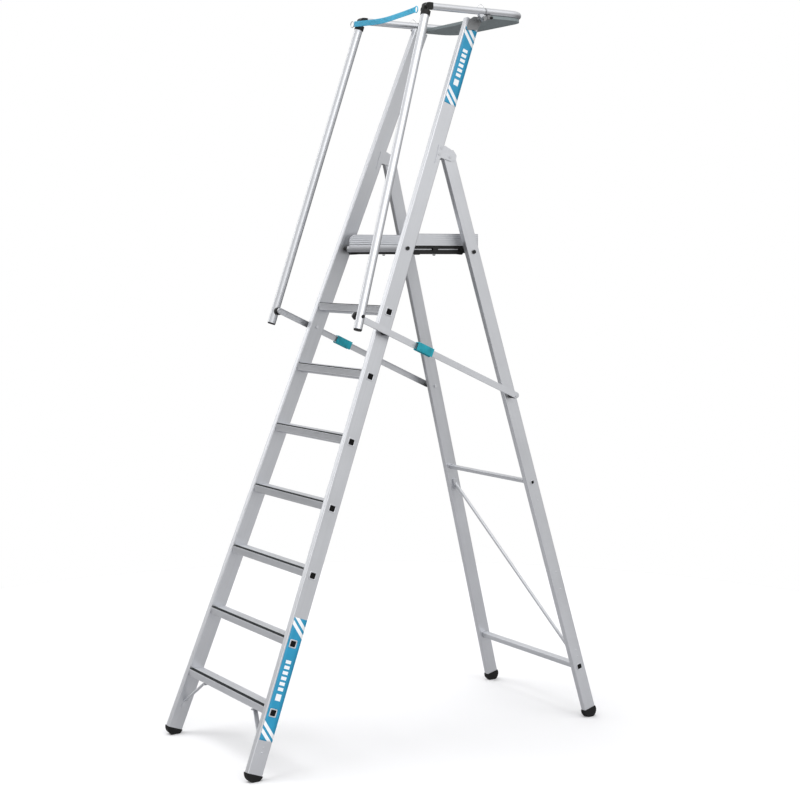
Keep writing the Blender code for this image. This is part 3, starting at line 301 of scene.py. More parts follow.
def through_tube(shell, centre, half, wall, corner, turn, reach, rim, dark):
    """A square tube from side to side with a rolled rim outside each face. The section that is carried
    round the square is the tube wall; the rim's section is a half round."""
    outer, inner = square_ring(half, half - wall, corner, turn, centre)
    walls = [across_x(outer, [-reach, reach]), across_x(inner, [reach, -reach])]
    shell.grid(np.concatenate(walls), close_u=True, close_v=True)
    t = np.linspace(0, np.pi, 7)
    for _, side in SIDES:
        wide, narrow = square_ring(half + rim, half - wall - 0.0002, corner + rim, turn, centre)
        shares = (1 - np.cos(t)) / 2
        w = 0.0004 + 0.0016 * np.sin(t)
        ring = wide[None] * (1 - shares)[:, None, None] + narrow[None] * shares[:, None, None]
        grid = np.concatenate([w[:, None, None] * np.ones((1, len(wide), 1)), ring], axis=-1)
        back = np.concatenate([np.full((1, len(wide), 1), 0.0003), narrow[None]], axis=-1)
        shell.grid(in_side(np.concatenate([grid, back]), side), close_u=True, close_v=True)
        # A near-black plug inside each end of the tube: painted shade in the tube's hollow.
        deep = across_x(inner - (inner - centre) * 0.02, [side * (reach - 0.0012), side * (reach - 0.030)])
        shell.grid(deep, close_v=True, caps=True, mark=dark)


# Finishes --------------------------------------------------------------------------------------
class Nodes:
    """A material with one principled shader, and short ways to add nodes to its tree."""

    def __init__(self, name, colour, roughness, metallic=0.0):
        self.material = bpy.data.materials.new(name)
        self.material.use_nodes = True
        self.tree = self.material.node_tree
        self.shader = self.tree.nodes["Principled BSDF"]
        self.shader.inputs["Base Color"].default_value = (*colour, 1.0)
        self.shader.inputs["Roughness"].default_value = roughness
        self.shader.inputs["Metallic"].default_value = metallic
        self.material.diffuse_color = (*colour, 1.0)

    def add(self, kind, **settings):
        made = self.tree.nodes.new(kind)
        for key, value in settings.items():
            setattr(made, key, value)
        return made

    def join(self, out, into):
        self.tree.links.new(out, into)

    def place(self, rotation=(0, 0, 0), scale=(1, 1, 1), source="Object"):
        """Object or UV coordinates, turned and then stretched."""
        coordinates = self.add("ShaderNodeTexCoord")
        turn = self.add("ShaderNodeMapping", vector_type="TEXTURE")
        turn.inputs["Rotation"].default_value = rotation
        stretch = self.add("ShaderNodeMapping")
        stretch.inputs["Scale"].default_value = scale
        self.join(coordinates.outputs[source], turn.inputs["Vector"])
        self.join(turn.outputs["Vector"], stretch.inputs["Vector"])
        return stretch.outputs["Vector"]

    def noise(self, vector, scale, detail=3.0, roughness=0.55):
        made = self.add("ShaderNodeTexNoise")
        made.inputs["Scale"].default_value = scale
        made.inputs["Detail"].default_value = detail
        made.inputs["Roughness"].default_value = roughness
        self.join(vector, made.inputs["Vector"])
        return made.outputs["Fac"]

    def ramp(self, value, low, high, start=0.3, end=0.7):
        """Spreads a value from start to end over the numbers low to high."""
        made = self.add("ShaderNodeMapRange")
        made.inputs["From Min"].default_value = start
        made.inputs["From Max"].default_value = end
        made.inputs["To Min"].default_value = low
        made.inputs["To Max"].default_value = high
        self.join(value, made.inputs["Value"])
        return made.outputs["Result"]

    def blend(self, factor, first, second):
        made = self.add("ShaderNodeMix", data_type="RGBA")
        for socket, value in ((made.inputs[6], first), (made.inputs[7], second)):
            if isinstance(value, tuple):
                socket.default_value = (*value, 1.0)
            else:
                self.join(value, socket)
        self.join(factor, made.inputs[0])
        return made.outputs[2]

    def sum(self, first, second, operation="ADD", amount=None):
        made = self.add("ShaderNodeMath", operation=operation)
        self.join(first, made.inputs[0])
        if amount is None:
            self.join(second, made.inputs[1])
        else:
            made.inputs[1].default_value = amount
        return made.outputs[0]

    def bump(self, height, distance, strength=0.5):
        made = self.add("ShaderNodeBump")
        made.inputs["Strength"].default_value = strength
        made.inputs["Distance"].default_value = distance
        self.join(height, made.inputs["Height"])
        self.join(made.outputs["Normal"], self.shader.inputs["Normal"])

    def colour(self, out):
        self.join(out, self.shader.inputs["Base Color"])

    def rough(self, out):
        self.join(out, self.shader.inputs["Roughness"])


def shade(colour, factor):
    return tuple(min(1.0, max(0.0, c * factor)) for c in colour)


def turn_to(direction):
    """Euler angles that carry Z onto a direction."""
    return tuple(Vector(direction).to_track_quat("Z", "Y").to_euler())


def extruded(name, colour, direction, roughness=0.36, metallic=0.9, lines=260.0, depth=0.2):
    """Mill-finished extrusion: fine die lines along the pressing direction, soft clouding across."""
    made = Nodes(name, colour, roughness, metallic)
    turn = turn_to(direction)
    bands = made.noise(made.place(turn, (lines, lines, lines / 130)), 1.0, 3.0)
    cloud = made.noise(made.place(), 5.0, 3.0)
    tone = made.sum(made.sum(bands, cloud), None, "MULTIPLY", 0.5)
    made.colour(made.blend(made.ramp(tone, 0.0, 1.0, 0.38, 0.62), shade(colour, 0.97), shade(colour, 1.03)))
    made.rough(made.ramp(tone, roughness - 0.04, roughness + 0.05, 0.38, 0.62))
    made.bump(bands, 0.00004, depth)
    return made.material


def moulded(name, colour, roughness=0.5, grain=2200.0, depth=0.00012):
    """Moulded plastic: fine spark grain, slight gloss patches and paler rubbed spots."""
    made = Nodes(name, colour, roughness)
    made.shader.inputs["Specular IOR Level"].default_value = 0.32
    grit = made.noise(made.place(), grain, 2.0, 0.6)
    patch = made.noise(made.place(), 38.0, 3.0)
    made.colour(made.blend(made.ramp(patch, 0.0, 1.0, 0.35, 0.75), shade(colour, 0.85), shade(colour, 1.35)))
    made.rough(made.ramp(patch, roughness - 0.08, roughness + 0.1))
    made.bump(grit, depth, 0.4)
    return made.material


def rubber(name, colour):
    """Tread rubber: matt, dusty on the crests, with a coarse skin."""
    made = Nodes(name, colour, 0.8)
    made.shader.inputs["Specular IOR Level"].default_value = 0.2
    dust = made.noise(made.place(), 60.0, 4.0)
    skin = made.noise(made.place(), 1500.0, 2.0)
    made.colour(made.blend(made.ramp(dust, 0.0, 1.0, 0.4, 0.8), colour, shade(colour, 1.8)))
    made.rough(made.ramp(dust, 0.7, 0.92))
    made.bump(skin, 0.0002, 0.5)
    return made.material


def plated(name, colour):
    """Bright plated steel with faint handling marks."""
    made = Nodes(name, colour, 0.14, 1.0)
    marks = made.noise(made.place(scale=(400, 400, 60)), 1.0, 4.0)
    made.rough(made.ramp(marks, 0.08, 0.24))
    made.colour(made.blend(made.ramp(marks, 0.0, 1.0), shade(colour, 0.92), shade(colour, 1.05)))
    made.bump(marks, 0.00005, 0.2)
    return made.material


def blocks(made, u, v, between):
    """A pale square and six pale bars in the band's middle."""
    tall = between(v, 17.2, 19.6)
    for low in (20.8, 22.8, 24.8, 26.8, 28.8, 30.8):
        tall = made.sum(tall, between(v, low, low + 1.2), "ADD")
    return made.sum(between(u, 0.30, 0.70), tall, "MULTIPLY")


def vinyl(name, colour, pale):
    """Printed vinyl band. On its UV map u runs across and v along: two pale slanted stripes at each
    end, and a plain row of pale blocks in the middle. A stripe is where v + slope u lies in a range."""
    made = Nodes(name, colour, 0.38)
    coordinates = made.add("ShaderNodeTexCoord")
    parts = made.add("ShaderNodeSeparateXYZ")
    made.join(coordinates.outputs["UV"], parts.inputs["Vector"])
    u, v = parts.outputs["X"], parts.outputs["Y"]

    def between(value, low, high):
        above = made.sum(value, None, "GREATER_THAN", low)
        below = made.sum(value, None, "LESS_THAN", high)
        return made.sum(above, below, "MULTIPLY")

    # v counts centimetres up from the lower end, and the upper end lies at v = 50.
    slope, length = 4.5, 50.0
    low = made.sum(v, made.sum(u, None, "MULTIPLY", slope))
    high = made.sum(made.sum(low, None, "SUBTRACT", length + slope), None, "MULTIPLY", -1.0)
    first = made.sum(between(low, 2.7, 4.3), between(low, 5.5, 7.1))
    for start, end in ((2.7, 4.3), (5.5, 7.1)):
        first = made.sum(first, between(high, start, end))
    painted = made.sum(first, blocks(made, u, v, between), "MAXIMUM")
    grain = made.noise(made.place(), 25.0, 3.0)
    base = made.blend(made.ramp(grain, 0.0, 1.0), shade(colour, 0.93), shade(colour, 1.06))
    made.colour(made.blend(painted, base, pale))
    made.rough(made.ramp(grain, 0.32, 0.46))
    made.bump(made.noise(made.place(), 900.0, 2.0), 0.00006, 0.25)
    return made.material


def webbing(name, colour):
    """Woven polyester: plain weave across and along the band on its UV map, in millimetres."""
    made = Nodes(name, colour, 0.78)
    made.shader.inputs["Sheen Weight"].default_value = 0.25
    threads = made.place(scale=(1, 1, 1), source="UV")
    warp = made.add("ShaderNodeTexWave", wave_type="BANDS", bands_direction="X", wave_profile="SIN")
    weft = made.add("ShaderNodeTexWave", wave_type="BANDS", bands_direction="Y", wave_profile="SIN")
    for wave, scale in ((warp, 0.42), (weft, 0.30)):
        wave.inputs["Scale"].default_value = scale
        wave.inputs["Distortion"].default_value = 0.6
        wave.inputs["Detail"].default_value = 1.0
        made.join(threads, wave.inputs["Vector"])
    weave = made.sum(warp.outputs["Fac"], weft.outputs["Fac"], "MULTIPLY")
    cloud = made.noise(made.place(), 30.0, 3.0)
    # Colour darkens between the woven threads, painted shade in the weave's grooves, and varies at random
    # with the cloud.
    tone = made.sum(made.sum(weave, cloud), None, "MULTIPLY", 0.5)
    made.colour(made.blend(made.ramp(tone, 0.0, 1.0, 0.2, 0.7), shade(colour, 0.78), shade(colour, 1.12)))
    made.rough(made.ramp(cloud, 0.7, 0.9))
    made.bump(weave, 0.0004, 0.6)
    return made.material


FINISH = {}


def make_finishes(look):
    """Every finish, by name, from the colours of the sidebar."""
    metal = tuple(look.metal)
    black = tuple(look.black)
    # Name, material, shade of the metal, pressing direction, then roughness and further settings.
    for key, label, factor, line, *rest in (
        ("stile_R", "stile metal right", 1.0, (-TAPER, STILE_RUN, 1.0)),
        ("stile_L", "stile metal left", 1.0, (TAPER, STILE_RUN, 1.0)),
        ("leg_R", "leg metal right", 1.0, (-TAPER, -LEG_RUN, 1.0)),
        ("leg_L", "leg metal left", 1.0, (TAPER, -LEG_RUN, 1.0)),
        ("tread", "tread metal", 1.0, ACROSS, 0.46),
        ("bar", "bar metal", 1.0, (0, *BAR_DIR), 0.4),
        ("board", "board metal", 1.0, ALONG, 0.45),
        ("board_rear", "rear board metal", 1.0, ACROSS, 0.45),
        ("rail", "rail metal", 1.12, (-0.08, 0.3, 1.0), 0.27, 0.95, 30.0, 0.05),
        ("arm", "arm metal", 1.08, ALONG, 0.30, 0.95, 30.0, 0.05),
        ("rivet", "rivet metal", 1.05, ACROSS, 0.32, 0.95),
        ("nose", "nose metal", 0.80, ACROSS, 0.5, 0.8),
        ("inlay", "inlay metal", 0.75, ALONG, 0.5, 0.8),
    ):
        FINISH[key] = extruded(label, shade(metal, factor), line, *rest)
    # The tray's sheet is darker than the metal: partly its own grey, partly painted shade from its
    # underside's look in shadow.
    FINISH["sheet"] = extruded("tray metal with painted shade", tuple(look.tray), ACROSS, 0.55, 0.6)
    FINISH["bracket"] = extruded("bracket metal", tuple(look.bracket), ALONG, 0.5, 0.5)
    FINISH["black"] = moulded("black moulding", black, 0.5)
    # Near-black finish of the plugs inside the tubes: painted shade in their hollows.
    FINISH["hollow"] = moulded("painted shade inside tubes", shade(black, 0.15), 0.95)
    FINISH["hook"] = moulded("hook moulding", tuple(look.strap), 0.4)
    FINISH["teal"] = moulded("teal moulding", tuple(look.teal), 0.42, 1500.0)
    FINISH["foot"] = rubber("foot rubber", shade(black, 1.3))
    FINISH["strip"] = rubber("tread rubber", tuple(look.rubber))
    FINISH["vinyl"] = vinyl("blue vinyl", tuple(look.blue), (0.86, 0.88, 0.9))
    FINISH["webbing"] = webbing("strap webbing", tuple(look.strap))
    FINISH["bright"] = plated("bright steel", (0.78, 0.79, 0.81))


def dress(name, *finishes):
    """Gives a CAD node its finish."""
    node = frame["nodes"][name]
    node.data.materials.clear()
    for finish in finishes:
        node.data.materials.append(FINISH[finish])


def dress_inside(name, finish, inner_finish, limit):
    """Gives a CAD node its finish, and another one to the faces nearer the centre plane than limit."""
    node = frame["nodes"][name]
    dress(name, finish, inner_finish)
    mesh = node.data
    centres = np.empty(len(mesh.polygons) * 3)
    mesh.polygons.foreach_get("center", centres)
    mesh.polygons.foreach_set("material_index", (np.abs(centres[::3]) < limit).astype(np.int32))


# Sidebar values --------------------------------------------------------------------------------
def colour_value(name, description, default):
    return bpy.props.FloatVectorProperty(
        name=name, description=description, default=default, size=3, subtype="COLOR", min=0.0, max=1.0
    )


def length_value(name, description, default):
    return bpy.props.FloatProperty(name=name, description=description, default=default, unit="LENGTH")


class LADDER_look(bpy.types.PropertyGroup):
    metal: colour_value("Metal", "Extruded aluminium", (0.60, 0.61, 0.635))
    black: colour_value("Black", "Moulded plastic", (0.007, 0.007, 0.007))
    rubber: colour_value("Rubber", "Tread strips", (0.014, 0.016, 0.017))
    teal: colour_value("Teal", "Knee sleeves", (0.010, 0.27, 0.34))
    blue: colour_value("Blue", "Vinyl bands", (0.010, 0.27, 0.47))
    strap: colour_value("Strap", "Safety strap", (0.026, 0.50, 0.80))
    # Tray: partly the sheet's own grey, partly painted shade, darkened to the underside's look in shadow.
    tray: colour_value("Tray", "Tray sheet", (0.27, 0.31, 0.32))
    bracket: colour_value("Bracket", "Top brackets", (0.24, 0.245, 0.25))


class LADDER_sizes(bpy.types.PropertyGroup):
    strip_proud: length_value("Strip height", "Rubber strip above the tread", 0.0022)
    ridge: length_value("Ridge pitch", "Distance between the strip's ridges", 0.0031)
    flute: length_value("Flute depth", "Depth of the lines in treads and boards", 0.0005)
    vinyl: length_value("Vinyl thickness", "Thickness of the printed bands", 0.00015)
    rim: length_value("Rim", "Width of the rolled rim round each spigot", 0.0022)
    weave: length_value("Webbing thickness", "Thickness of the strap", 0.0015)


def fluted(start, end, count, depth, inward):
    """Points from start to end with count shallow flutes: the offset is depth sin^2 along inward."""
    t = np.linspace(0, 1, count * 4 + 1)
    start, end = np.asarray(start, float), np.asarray(end, float)
    line = start + t[:, None] * (end - start)
    return line + (depth * np.sin(np.pi * count * t) ** 2)[:, None] * np.asarray(inward, float)


def tread_top(k):
    """Height of a tread's top above the floor, the lowest tread being 0."""
    return BOTTOM_TREAD + TREAD_PITCH * k


def tread_loop(front, top, flute):
    """Level section of a tread: round nose, fluted top and lip, and a hollow underside."""
    back, skin, lip = front + TREAD_DEPTH, TREAD_SKIN, TREAD_LIP
    groove, strip = 0.001, 0.016
    a = np.linspace(np.pi / 2, np.pi, 6)
    nose = np.stack([front + 0.0014 + 0.0014 * np.cos(a), top - 0.0014 + 0.0014 * np.sin(a)], axis=-1)
    parts = [
        nose,
        fluted((front, top - 0.004), (front, top - lip + 0.003), 5, flute, (1, 0)),
        [(front, top - lip), (front + skin, top - lip), (front + skin, top - skin)],
        [(back - skin, top - skin), (back - skin, top - 0.016), (back, top - 0.016), (back, top)],
        fluted((back - 0.003, top), (front + strip + 0.004, top), 9, flute, (0, -1)),
        [(front + 0.0018 + strip, top), (front + 0.0018 + strip, top - groove)],
        [(front + 0.0018, top - groove), (front + 0.0018, top)],
    ]
    return np.concatenate([np.asarray(p, float) for p in parts])


class LADDER_OT_treads(bpy.types.Operator):
    """Treads with fluted lips, their square tubes and the rolled rims outside the stiles"""

    bl_idname = "ladder.treads"
    bl_label = "Treads"

    def execute(self, context):
        sizes = context.scene.ladder_sizes
        for k in range(TREADS):
            top = tread_top(k)
            half = outer_x(top) - STILE_W / CT - GAP
            shell = Shell()
            loop = tread_loop(stile_front(top), top, sizes.flute)
            shell.grid(across_x(loop, [-half, half]), close_v=True, caps=True)
            z = top - SPIGOT_DROP
            section = (SPIGOT_HALF, SPIGOT_WALL, SPIGOT_CORNER, LEAN - math.pi / 2)
            through_tube(shell, np.array([stile_mid(z), z]), *section, outer_x(z) + 0.001, sizes.rim, 1)
            name, node = f"tread_board_{k + 1}", f"tread_{k + 1}"
            shell.build(name, ["tread", "hollow"], "front_frame", "aluminium", [node], smooth=50)
        return {"FINISHED"}


class LADDER_OT_strips(bpy.types.Operator):
    """Ribbed rubber strips let into the treads"""

    bl_idname = "ladder.strips"
    bl_label = "Tread strips"

    def execute(self, context):
        sizes = context.scene.ladder_sizes
        shell = Shell()
        ridges = max(2, round(STRIP_WIDTH / sizes.ridge))
        for k in range(TREADS):
            top = tread_top(k)
            half = outer_x(top) - STILE_W / CT - 0.0015
            y0 = stile_front(top) + STRIP_START
            t = np.linspace(0, 1, ridges * 6 + 1)
            # Height of the ridged top: a raised sine with flat crests.
            crest = np.clip(1.4 * np.sin(np.pi * ridges * t) ** 2, 0, 1)
            upper = np.stack([y0 + STRIP_WIDTH * t, top + sizes.strip_proud * (0.45 + 0.55 * crest)], axis=-1)
            base = top - 0.0008
            loop = np.concatenate([upper, [(y0 + STRIP_WIDTH, base), (y0, base)]])
            ends = np.array([-half, -half + 0.0008, half - 0.0008, half])
            grid = across_x(loop, ends)
            grid[[0, -1], :, 2] = np.minimum(grid[[0, -1], :, 2], top + 0.0002)
            shell.grid(grid, close_v=True, caps=True)
        shell.build("tread_strips", ["strip"], "front_frame", "black_plastic", smooth=60)
        return {"FINISHED"}


def vinyl_band(shell, side, z0, z1, thickness):
    """A band on a stile's outer face. Its grid runs across (u) and up (v), with the cells that fall
    on a spigot's opening left out. UV: u across from 0 to 1, v centimetres up, 50 at the upper end."""
    holes = [tread_top(k) - SPIGOT_DROP for k in range(TREADS)]
    up = math.sin(LEAN)
    s0, s1 = 0.0068, STILE_D - 0.0008
    mid = STILE_D / 2
    u = np.array([s0, mid - HOLE_HALF, mid, mid + HOLE_HALF, s1])
    length = (z1 - z0) / up
    inside = [(h - z0 + mid * math.cos(LEAN)) / up for h in holes if z0 + 0.02 < h < z1 - 0.02]
    v = np.linspace(0, length, 60)
    for h in inside:
        v = v[(v < h - HOLE_HALF - 0.001) | (v > h + HOLE_HALF + 0.001)]
        v = np.sort(np.append(v, [h - HOLE_HALF, h + HOLE_HALF]))
    uu, vv = np.meshgrid(u, v, indexing="ij")
    # The band's own axes: across the stile and along it, from the stile's front edge at z0.
    cy, cz = math.sin(LEAN), -math.cos(LEAN)
    ay, az = math.cos(LEAN), math.sin(LEAN)
    y = stile_front(z0) + uu * cy + vv * ay
    z = z0 + uu * cz + vv * az
    centre = (uu[:-1, :-1] + uu[1:, 1:]) / 2, (vv[:-1, :-1] + vv[1:, 1:]) / 2
    keep = np.ones(centre[0].shape, bool)
    for h in inside:
        keep &= ~((abs(centre[0] - mid) < HOLE_HALF) & (abs(centre[1] - h) < HOLE_HALF))
    w = np.full_like(y, thickness)
    grid = in_side(np.stack([w, y, z], axis=-1), side)
    share = (uu - s0) / (s1 - s0)
    up_from = vv * 100
    down_from = (length - vv) * 100
    run = np.where(vv < length / 2, np.minimum(up_from, 15), 50 - np.minimum(down_from, 15))
    middle = np.abs(vv - length / 2) < 0.083
    run = np.where(middle, 25 + (vv - length / 2) * 100, run)
    uv = np.stack([share, run], axis=-1)
    shell.grid(grid, keep=keep, map_uv=uv)


class LADDER_OT_bands(bpy.types.Operator):
    """Printed vinyl bands on the stiles' outer faces"""

    bl_idname = "ladder.bands"
    bl_label = "Vinyl bands"

    def execute(self, context):
        sizes = context.scene.ladder_sizes
        for tag, side in SIDES:
            for name, z0, z1 in BANDS:
                shell = Shell()
                vinyl_band(shell, side, z0, z1, 0.00003)
                piece = f"vinyl_{name}_{tag}"
                band = shell.build(piece, ["vinyl"], "front_frame", "webbing", outward=False)
                if band.data.polygons[0].normal.x * side <= 0:
                    band.data.flip_normals()
                solid = band.modifiers.new("thickness", "SOLIDIFY")
                solid.thickness = sizes.vinyl
                solid.offset = 1.0
        return {"FINISHED"}


class LADDER_OT_metalwork(bpy.types.Operator):
    """Finishes of the stiles, legs, brackets, link bars, pivots and feet"""

    bl_idname = "ladder.metalwork"
    bl_label = "Metalwork"

    def execute(self, context):
        for tag, _ in SIDES:
            dress(f"stile_{tag}", f"stile_{tag}")
            dress(f"leg_{tag}", f"leg_{tag}")
            dress(f"gusset_{tag}", f"stile_{tag}")
            dress(f"tread_brace_{tag}", "bar")
            dress(f"front_bar_{tag}", "bar")
            dress(f"rear_bar_{tag}", "bar")
            dress(f"top_bracket_{tag}", "bracket")
            for name in ("foot_front", "foot_rear"):
                dress(f"{name}_{tag}", "foot")
            for name in ("rest_pin", "platform_bolt", "rail_pivot"):
                dress(f"{name}_{tag}", "black")
            dress_inside(f"front_pivot_{tag}", "black", "rivet", outer_x(PIVOT_C[1]) - 0.02)
            dress_inside(f"rear_pivot_{tag}", "black", "rivet", outer_x(REAR_PIVOT_Z) - 0.02)
            for name in ("end_frame", "rail_cap", "rail_knuckle", "arm_fork"):
                dress(f"{name}_{tag}", "black")
        dress("strap_ring", "bright")
        dress("rear_diagonal", "bar")
        dress("tool_tray", "sheet")
        return {"FINISHED"}


class LADDER_OT_crossbars(bpy.types.Operator):
    """Square cross tubes of the rear frame with their rolled rims"""

    bl_idname = "ladder.crossbars"
    bl_label = "Rear cross tubes"

    def execute(self, context):
        for name, z, size in CROSS_TUBES:
            shell = Shell()
            section = (size / 2, PIPE_WALL, size * 0.2, math.pi / 2 - LEG_LEAN)
            through_tube(shell, np.array([leg_mid(z), z]), *section, outer_x(z) + 0.0006, 0.0018, 1)
            piece, node = f"cross_tube_{name}", f"crossbar_{name}"
            shell.build(piece, ["tread", "hollow"], "rear_frame", "aluminium", [node], smooth=50)
        return {"FINISHED"}


class LADDER_OT_rivets(bpy.types.Operator):
    """Rivet heads on the stiles and rear legs"""

    bl_idname = "ladder.rivets"
    bl_label = "Rivets"

    def execute(self, context):
        fixed, moving = Shell(), Shell()
        for _, side in SIDES:
            for z in BRACE_RIVETS:
                at = in_side(np.array([0.0001, stile_mid(z) + 0.002, z]), side)
                dome(fixed, at, (side, 0, 0), 0.0034, 0.0014)
            for z in LEG_RIVETS:
                at = in_side(np.array([-0.0002, leg_mid(z) + 0.004, z]), side)
                dome(moving, at, (side, 0, 0), 0.0032, 0.0013)
        fixed.build("stile_rivets", ["rivet"], "front_frame", "aluminium")
        moving.build("leg_rivets", ["rivet"], "rear_frame", "aluminium")
        return {"FINISHED"}


def node_span(name):
    low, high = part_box(name)
    return np.array(low), np.array(high)


class LADDER_OT_deck(bpy.types.Operator):
    """Grooved deck with its serrated nose"""

    bl_idname = "ladder.deck"
    bl_label = "Deck"

    def execute(self, context):
        low, high = node_span("deck")
        top, foot = high[2], low[2]
        y0, y1 = low[1], high[1]
        ribs, rib = 6, 0.0025
        pitch = (y1 - y0 - rib) / ribs
        under = []
        for i in range(ribs + 1):
            y = y0 + pitch * i
            under += [(y, foot), (y + rib, foot)]
            if i < ribs:
                under += [(y + rib, top - 0.003), (y + pitch, top - 0.003)]
        grooves = 44
        t = np.linspace(0, 1, grooves * 4 + 1)
        ridge = top - 0.0014 * np.clip(1.6 * np.sin(np.pi * grooves * t) ** 2 - 0.3, 0, 1)
        upper = np.stack([y1 + (y0 + 0.004 - y1) * t, ridge], axis=-1)
        loop = np.concatenate([np.array(under), [(y1, top - 0.001)], upper[1:], [(y0, top - 0.0012)]])
        shell = Shell()
        shell.grid(across_x(loop, [low[0], high[0]]), close_v=True, caps=True)
        # Nose: a half-round moulding whose face is scalloped along its length.
        x = np.linspace(low[0] - 0.0165, high[0] + 0.0165, 401)
        a = np.linspace(-np.pi / 2, np.pi / 2, 13)
        tooth = 0.5 + 0.5 * np.cos(2 * np.pi * x / 0.0075)
        depth = 0.0032 + 0.0013 * tooth[:, None] * np.cos(a)[None]
        nose = np.empty((len(x), len(a), 3))
        nose[..., 0] = x[:, None]
        nose[..., 1] = y0 - 0.0004 - depth * np.cos(a)[None]
        nose[..., 2] = top - 0.0125 + 0.0122 * np.sin(a)[None]
        shell.grid(nose, close_v=True, caps=True, mark=1)
        shell.build("deck_board", ["board_rear", "nose"], "platform", "aluminium", ["deck"], smooth=50)
        return {"FINISHED"}


def board_wave(count, share, depth):
    """Depth of a board's flutes at a share of its height: count raised sines, flat between and at their
    bottoms."""
    return depth * np.clip(np.sin(np.pi * count * share) ** 2 * 1.5 - 0.4, 0, 1)


class LADDER_OT_boards(bpy.types.Operator):
    """Kick boards with lengthwise flutes and rounded front corners"""

    bl_idname = "ladder.boards"
    bl_label = "Kick boards"

    def execute(self, context):
        flute = context.scene.ladder_sizes.flute * 1.6
        radius, rows = 0.030, 61
        for tag, _ in SIDES:
            low, high = node_span(f"kick_board_{tag}")
            z = np.linspace(low[2], high[2], rows)
            rise = np.clip(z - (high[2] - radius), 0, radius * 0.99999)
            start = low[1] + radius - np.sqrt(radius**2 - rise**2)
            u = np.linspace(0, 1, 9)
            y = start[:, None] + (high[1] - start)[:, None] * u[None]
            wave = board_wave(6, (z - low[2]) / (high[2] - low[2]), flute)
            faces = []
            for x, inward in ((high[0], -1), (low[0], 1)):
                face = np.empty((rows, len(u), 3))
                face[..., 0] = x + inward * wave[:, None]
                face[..., 1] = y
                face[..., 2] = z[:, None]
                faces.append(face)
            shell = Shell()
            both = np.concatenate([faces[0], faces[1][:, ::-1]], axis=1)
            shell.grid(both, close_v=True, caps=True)
            node = f"kick_board_{tag}"
            shell.build(f"kick_side_{tag}", ["board"], "platform", "aluminium", [node], smooth=50)
        low, high = node_span("kick_board_rear")
        t = np.linspace(0, 1, 81)
        z = low[2] + (high[2] - low[2]) * t
        wave = board_wave(8, t, flute)
        back = np.stack([high[1] - wave, z], axis=-1)
        front = np.stack([low[1] + wave, z], axis=-1)[::-1]
        shell = Shell()
        shell.grid(across_x(np.concatenate([back, front]), [low[0], high[0]]), close_v=True, caps=True)
        node = "kick_board_rear"
        shell.build("kick_rear", ["board_rear"], "platform", "aluminium", [node], smooth=50)
        return {"FINISHED"}


class LADDER_OT_side_mouldings(bpy.types.Operator):
    """Bright inlays, centre boss and nose rivets of the platform's side mouldings"""

    bl_idname = "ladder.side_mouldings"
    bl_label = "Platform side mouldings"

    def execute(self, context):
        bright, dark = Shell(), Shell()
        for tag, side in SIDES:
            low, high = node_span(f"end_frame_{tag}")
            edge = high[0] if side > 0 else low[0]
            top = high[2]
            start = stile_front(top) + STILE_DY + 0.014
            end = BOLT_A[0] + 0.268
            middle = (start + end) / 2
            x = np.array([edge - side * 0.0055, edge - side * 0.0042, edge - side * 0.0036])
            for a, b in ((start, middle - 0.014), (middle + 0.014, end)):
                lower, upper = top - 0.0165, top - 0.0125
                loop = rounded([(a, lower), (b, lower), (b, upper), (a, upper)], 0.002)
                bright.grid(across_x(loop, x), close_v=True, caps=True)
            centre = np.array([edge - side * 0.004, middle, top - 0.0185])
            turned_piece(
                dark, centre, centre + np.array([side * 0.0052, 0, 0]),
                [0.0112, 0.0112, 0.0104, 0.006, 0.0052], [0, 0.75, 0.95, 0.96, 1.0],
            )
            nub = np.array([edge - side * 0.009, middle, low[2] + 0.001])
            turned_piece(
                dark, nub, nub + np.array([0, 0, -0.0042]), [0.006, 0.0055, 0.004], [0, 0.7, 1.0]
            )
            at = np.array([edge - side * 0.007, low[1] - 0.002, top - 0.0125])
            dome(bright, at, (0, -1, 0), 0.0078, 0.0055)
        bright.build("moulding_inlays", ["inlay"], "platform", "aluminium")
        dark.build("moulding_bosses", ["black"], "platform", "black_plastic")
        return {"FINISHED"}


def sleeve_loop():
    """Section of a knee sleeve in (w, across): a roof, both cheeks, and a lip below the front bar."""
    from_w, to_w = 0.0231, 0.0474
    wall, half, room = 0.0024, 0.016, 0.01225
    slot = 0.0320
    outline = [
        (from_w, half), (from_w, -half), (slot, -half), (slot, -room), (from_w + wall, -room),
        (from_w + wall, room), (to_w - wall, room), (to_w - wall, -half), (to_w, -half), (to_w, half),
    ]
    return rounded(outline, 0.0008, 3)


class LADDER_OT_sleeves(bpy.types.Operator):
    """Knee sleeves with finger ribs round their ends"""

    bl_idname = "ladder.sleeves"
    bl_label = "Knee sleeves"

    def execute(self, context):
        loop = sleeve_loop()
        centre = np.array([0.0345, 0.0])
        s = np.linspace(0.134, 0.207, 74)
        # Ribs: three low rings near each end swell the section by up to 3 percent.
        near = np.minimum(s - s[0], s[-1] - s)
        swell = 1 + 0.028 * np.clip(np.sin(np.pi * near / 0.0045), 0, 1) ** 2 * (near < 0.0135)
        swell *= 1 - 0.03 * np.clip(1 - near / 0.0012, 0, 1)
        section = centre + (loop - centre)[None] * np.where(
            (np.abs(loop[:, 1]) > 0.0145) | (loop[:, 0] < 0.0245) | (loop[:, 0] > 0.0462), 1, 0
        )[None, :, None] * (swell - 1)[:, None, None] + (loop - centre)[None]
        across = np.array([-BAR_DIR[1], BAR_DIR[0]])
        at = PIVOT_C + s[:, None, None] * BAR_DIR + section[..., 1:] * across
        for tag, side in SIDES:
            grid = in_side(np.concatenate([section[..., :1], at], axis=-1), side)
            shell = Shell()
            shell.grid(grid, close_v=True, caps=True)
            body, node = f"front_bar_{tag}", f"lock_sleeve_{tag}"
            shell.build(f"sleeve_{tag}", ["teal"], body, "teal_plastic", [node], smooth=55)
        return {"FINISHED"}


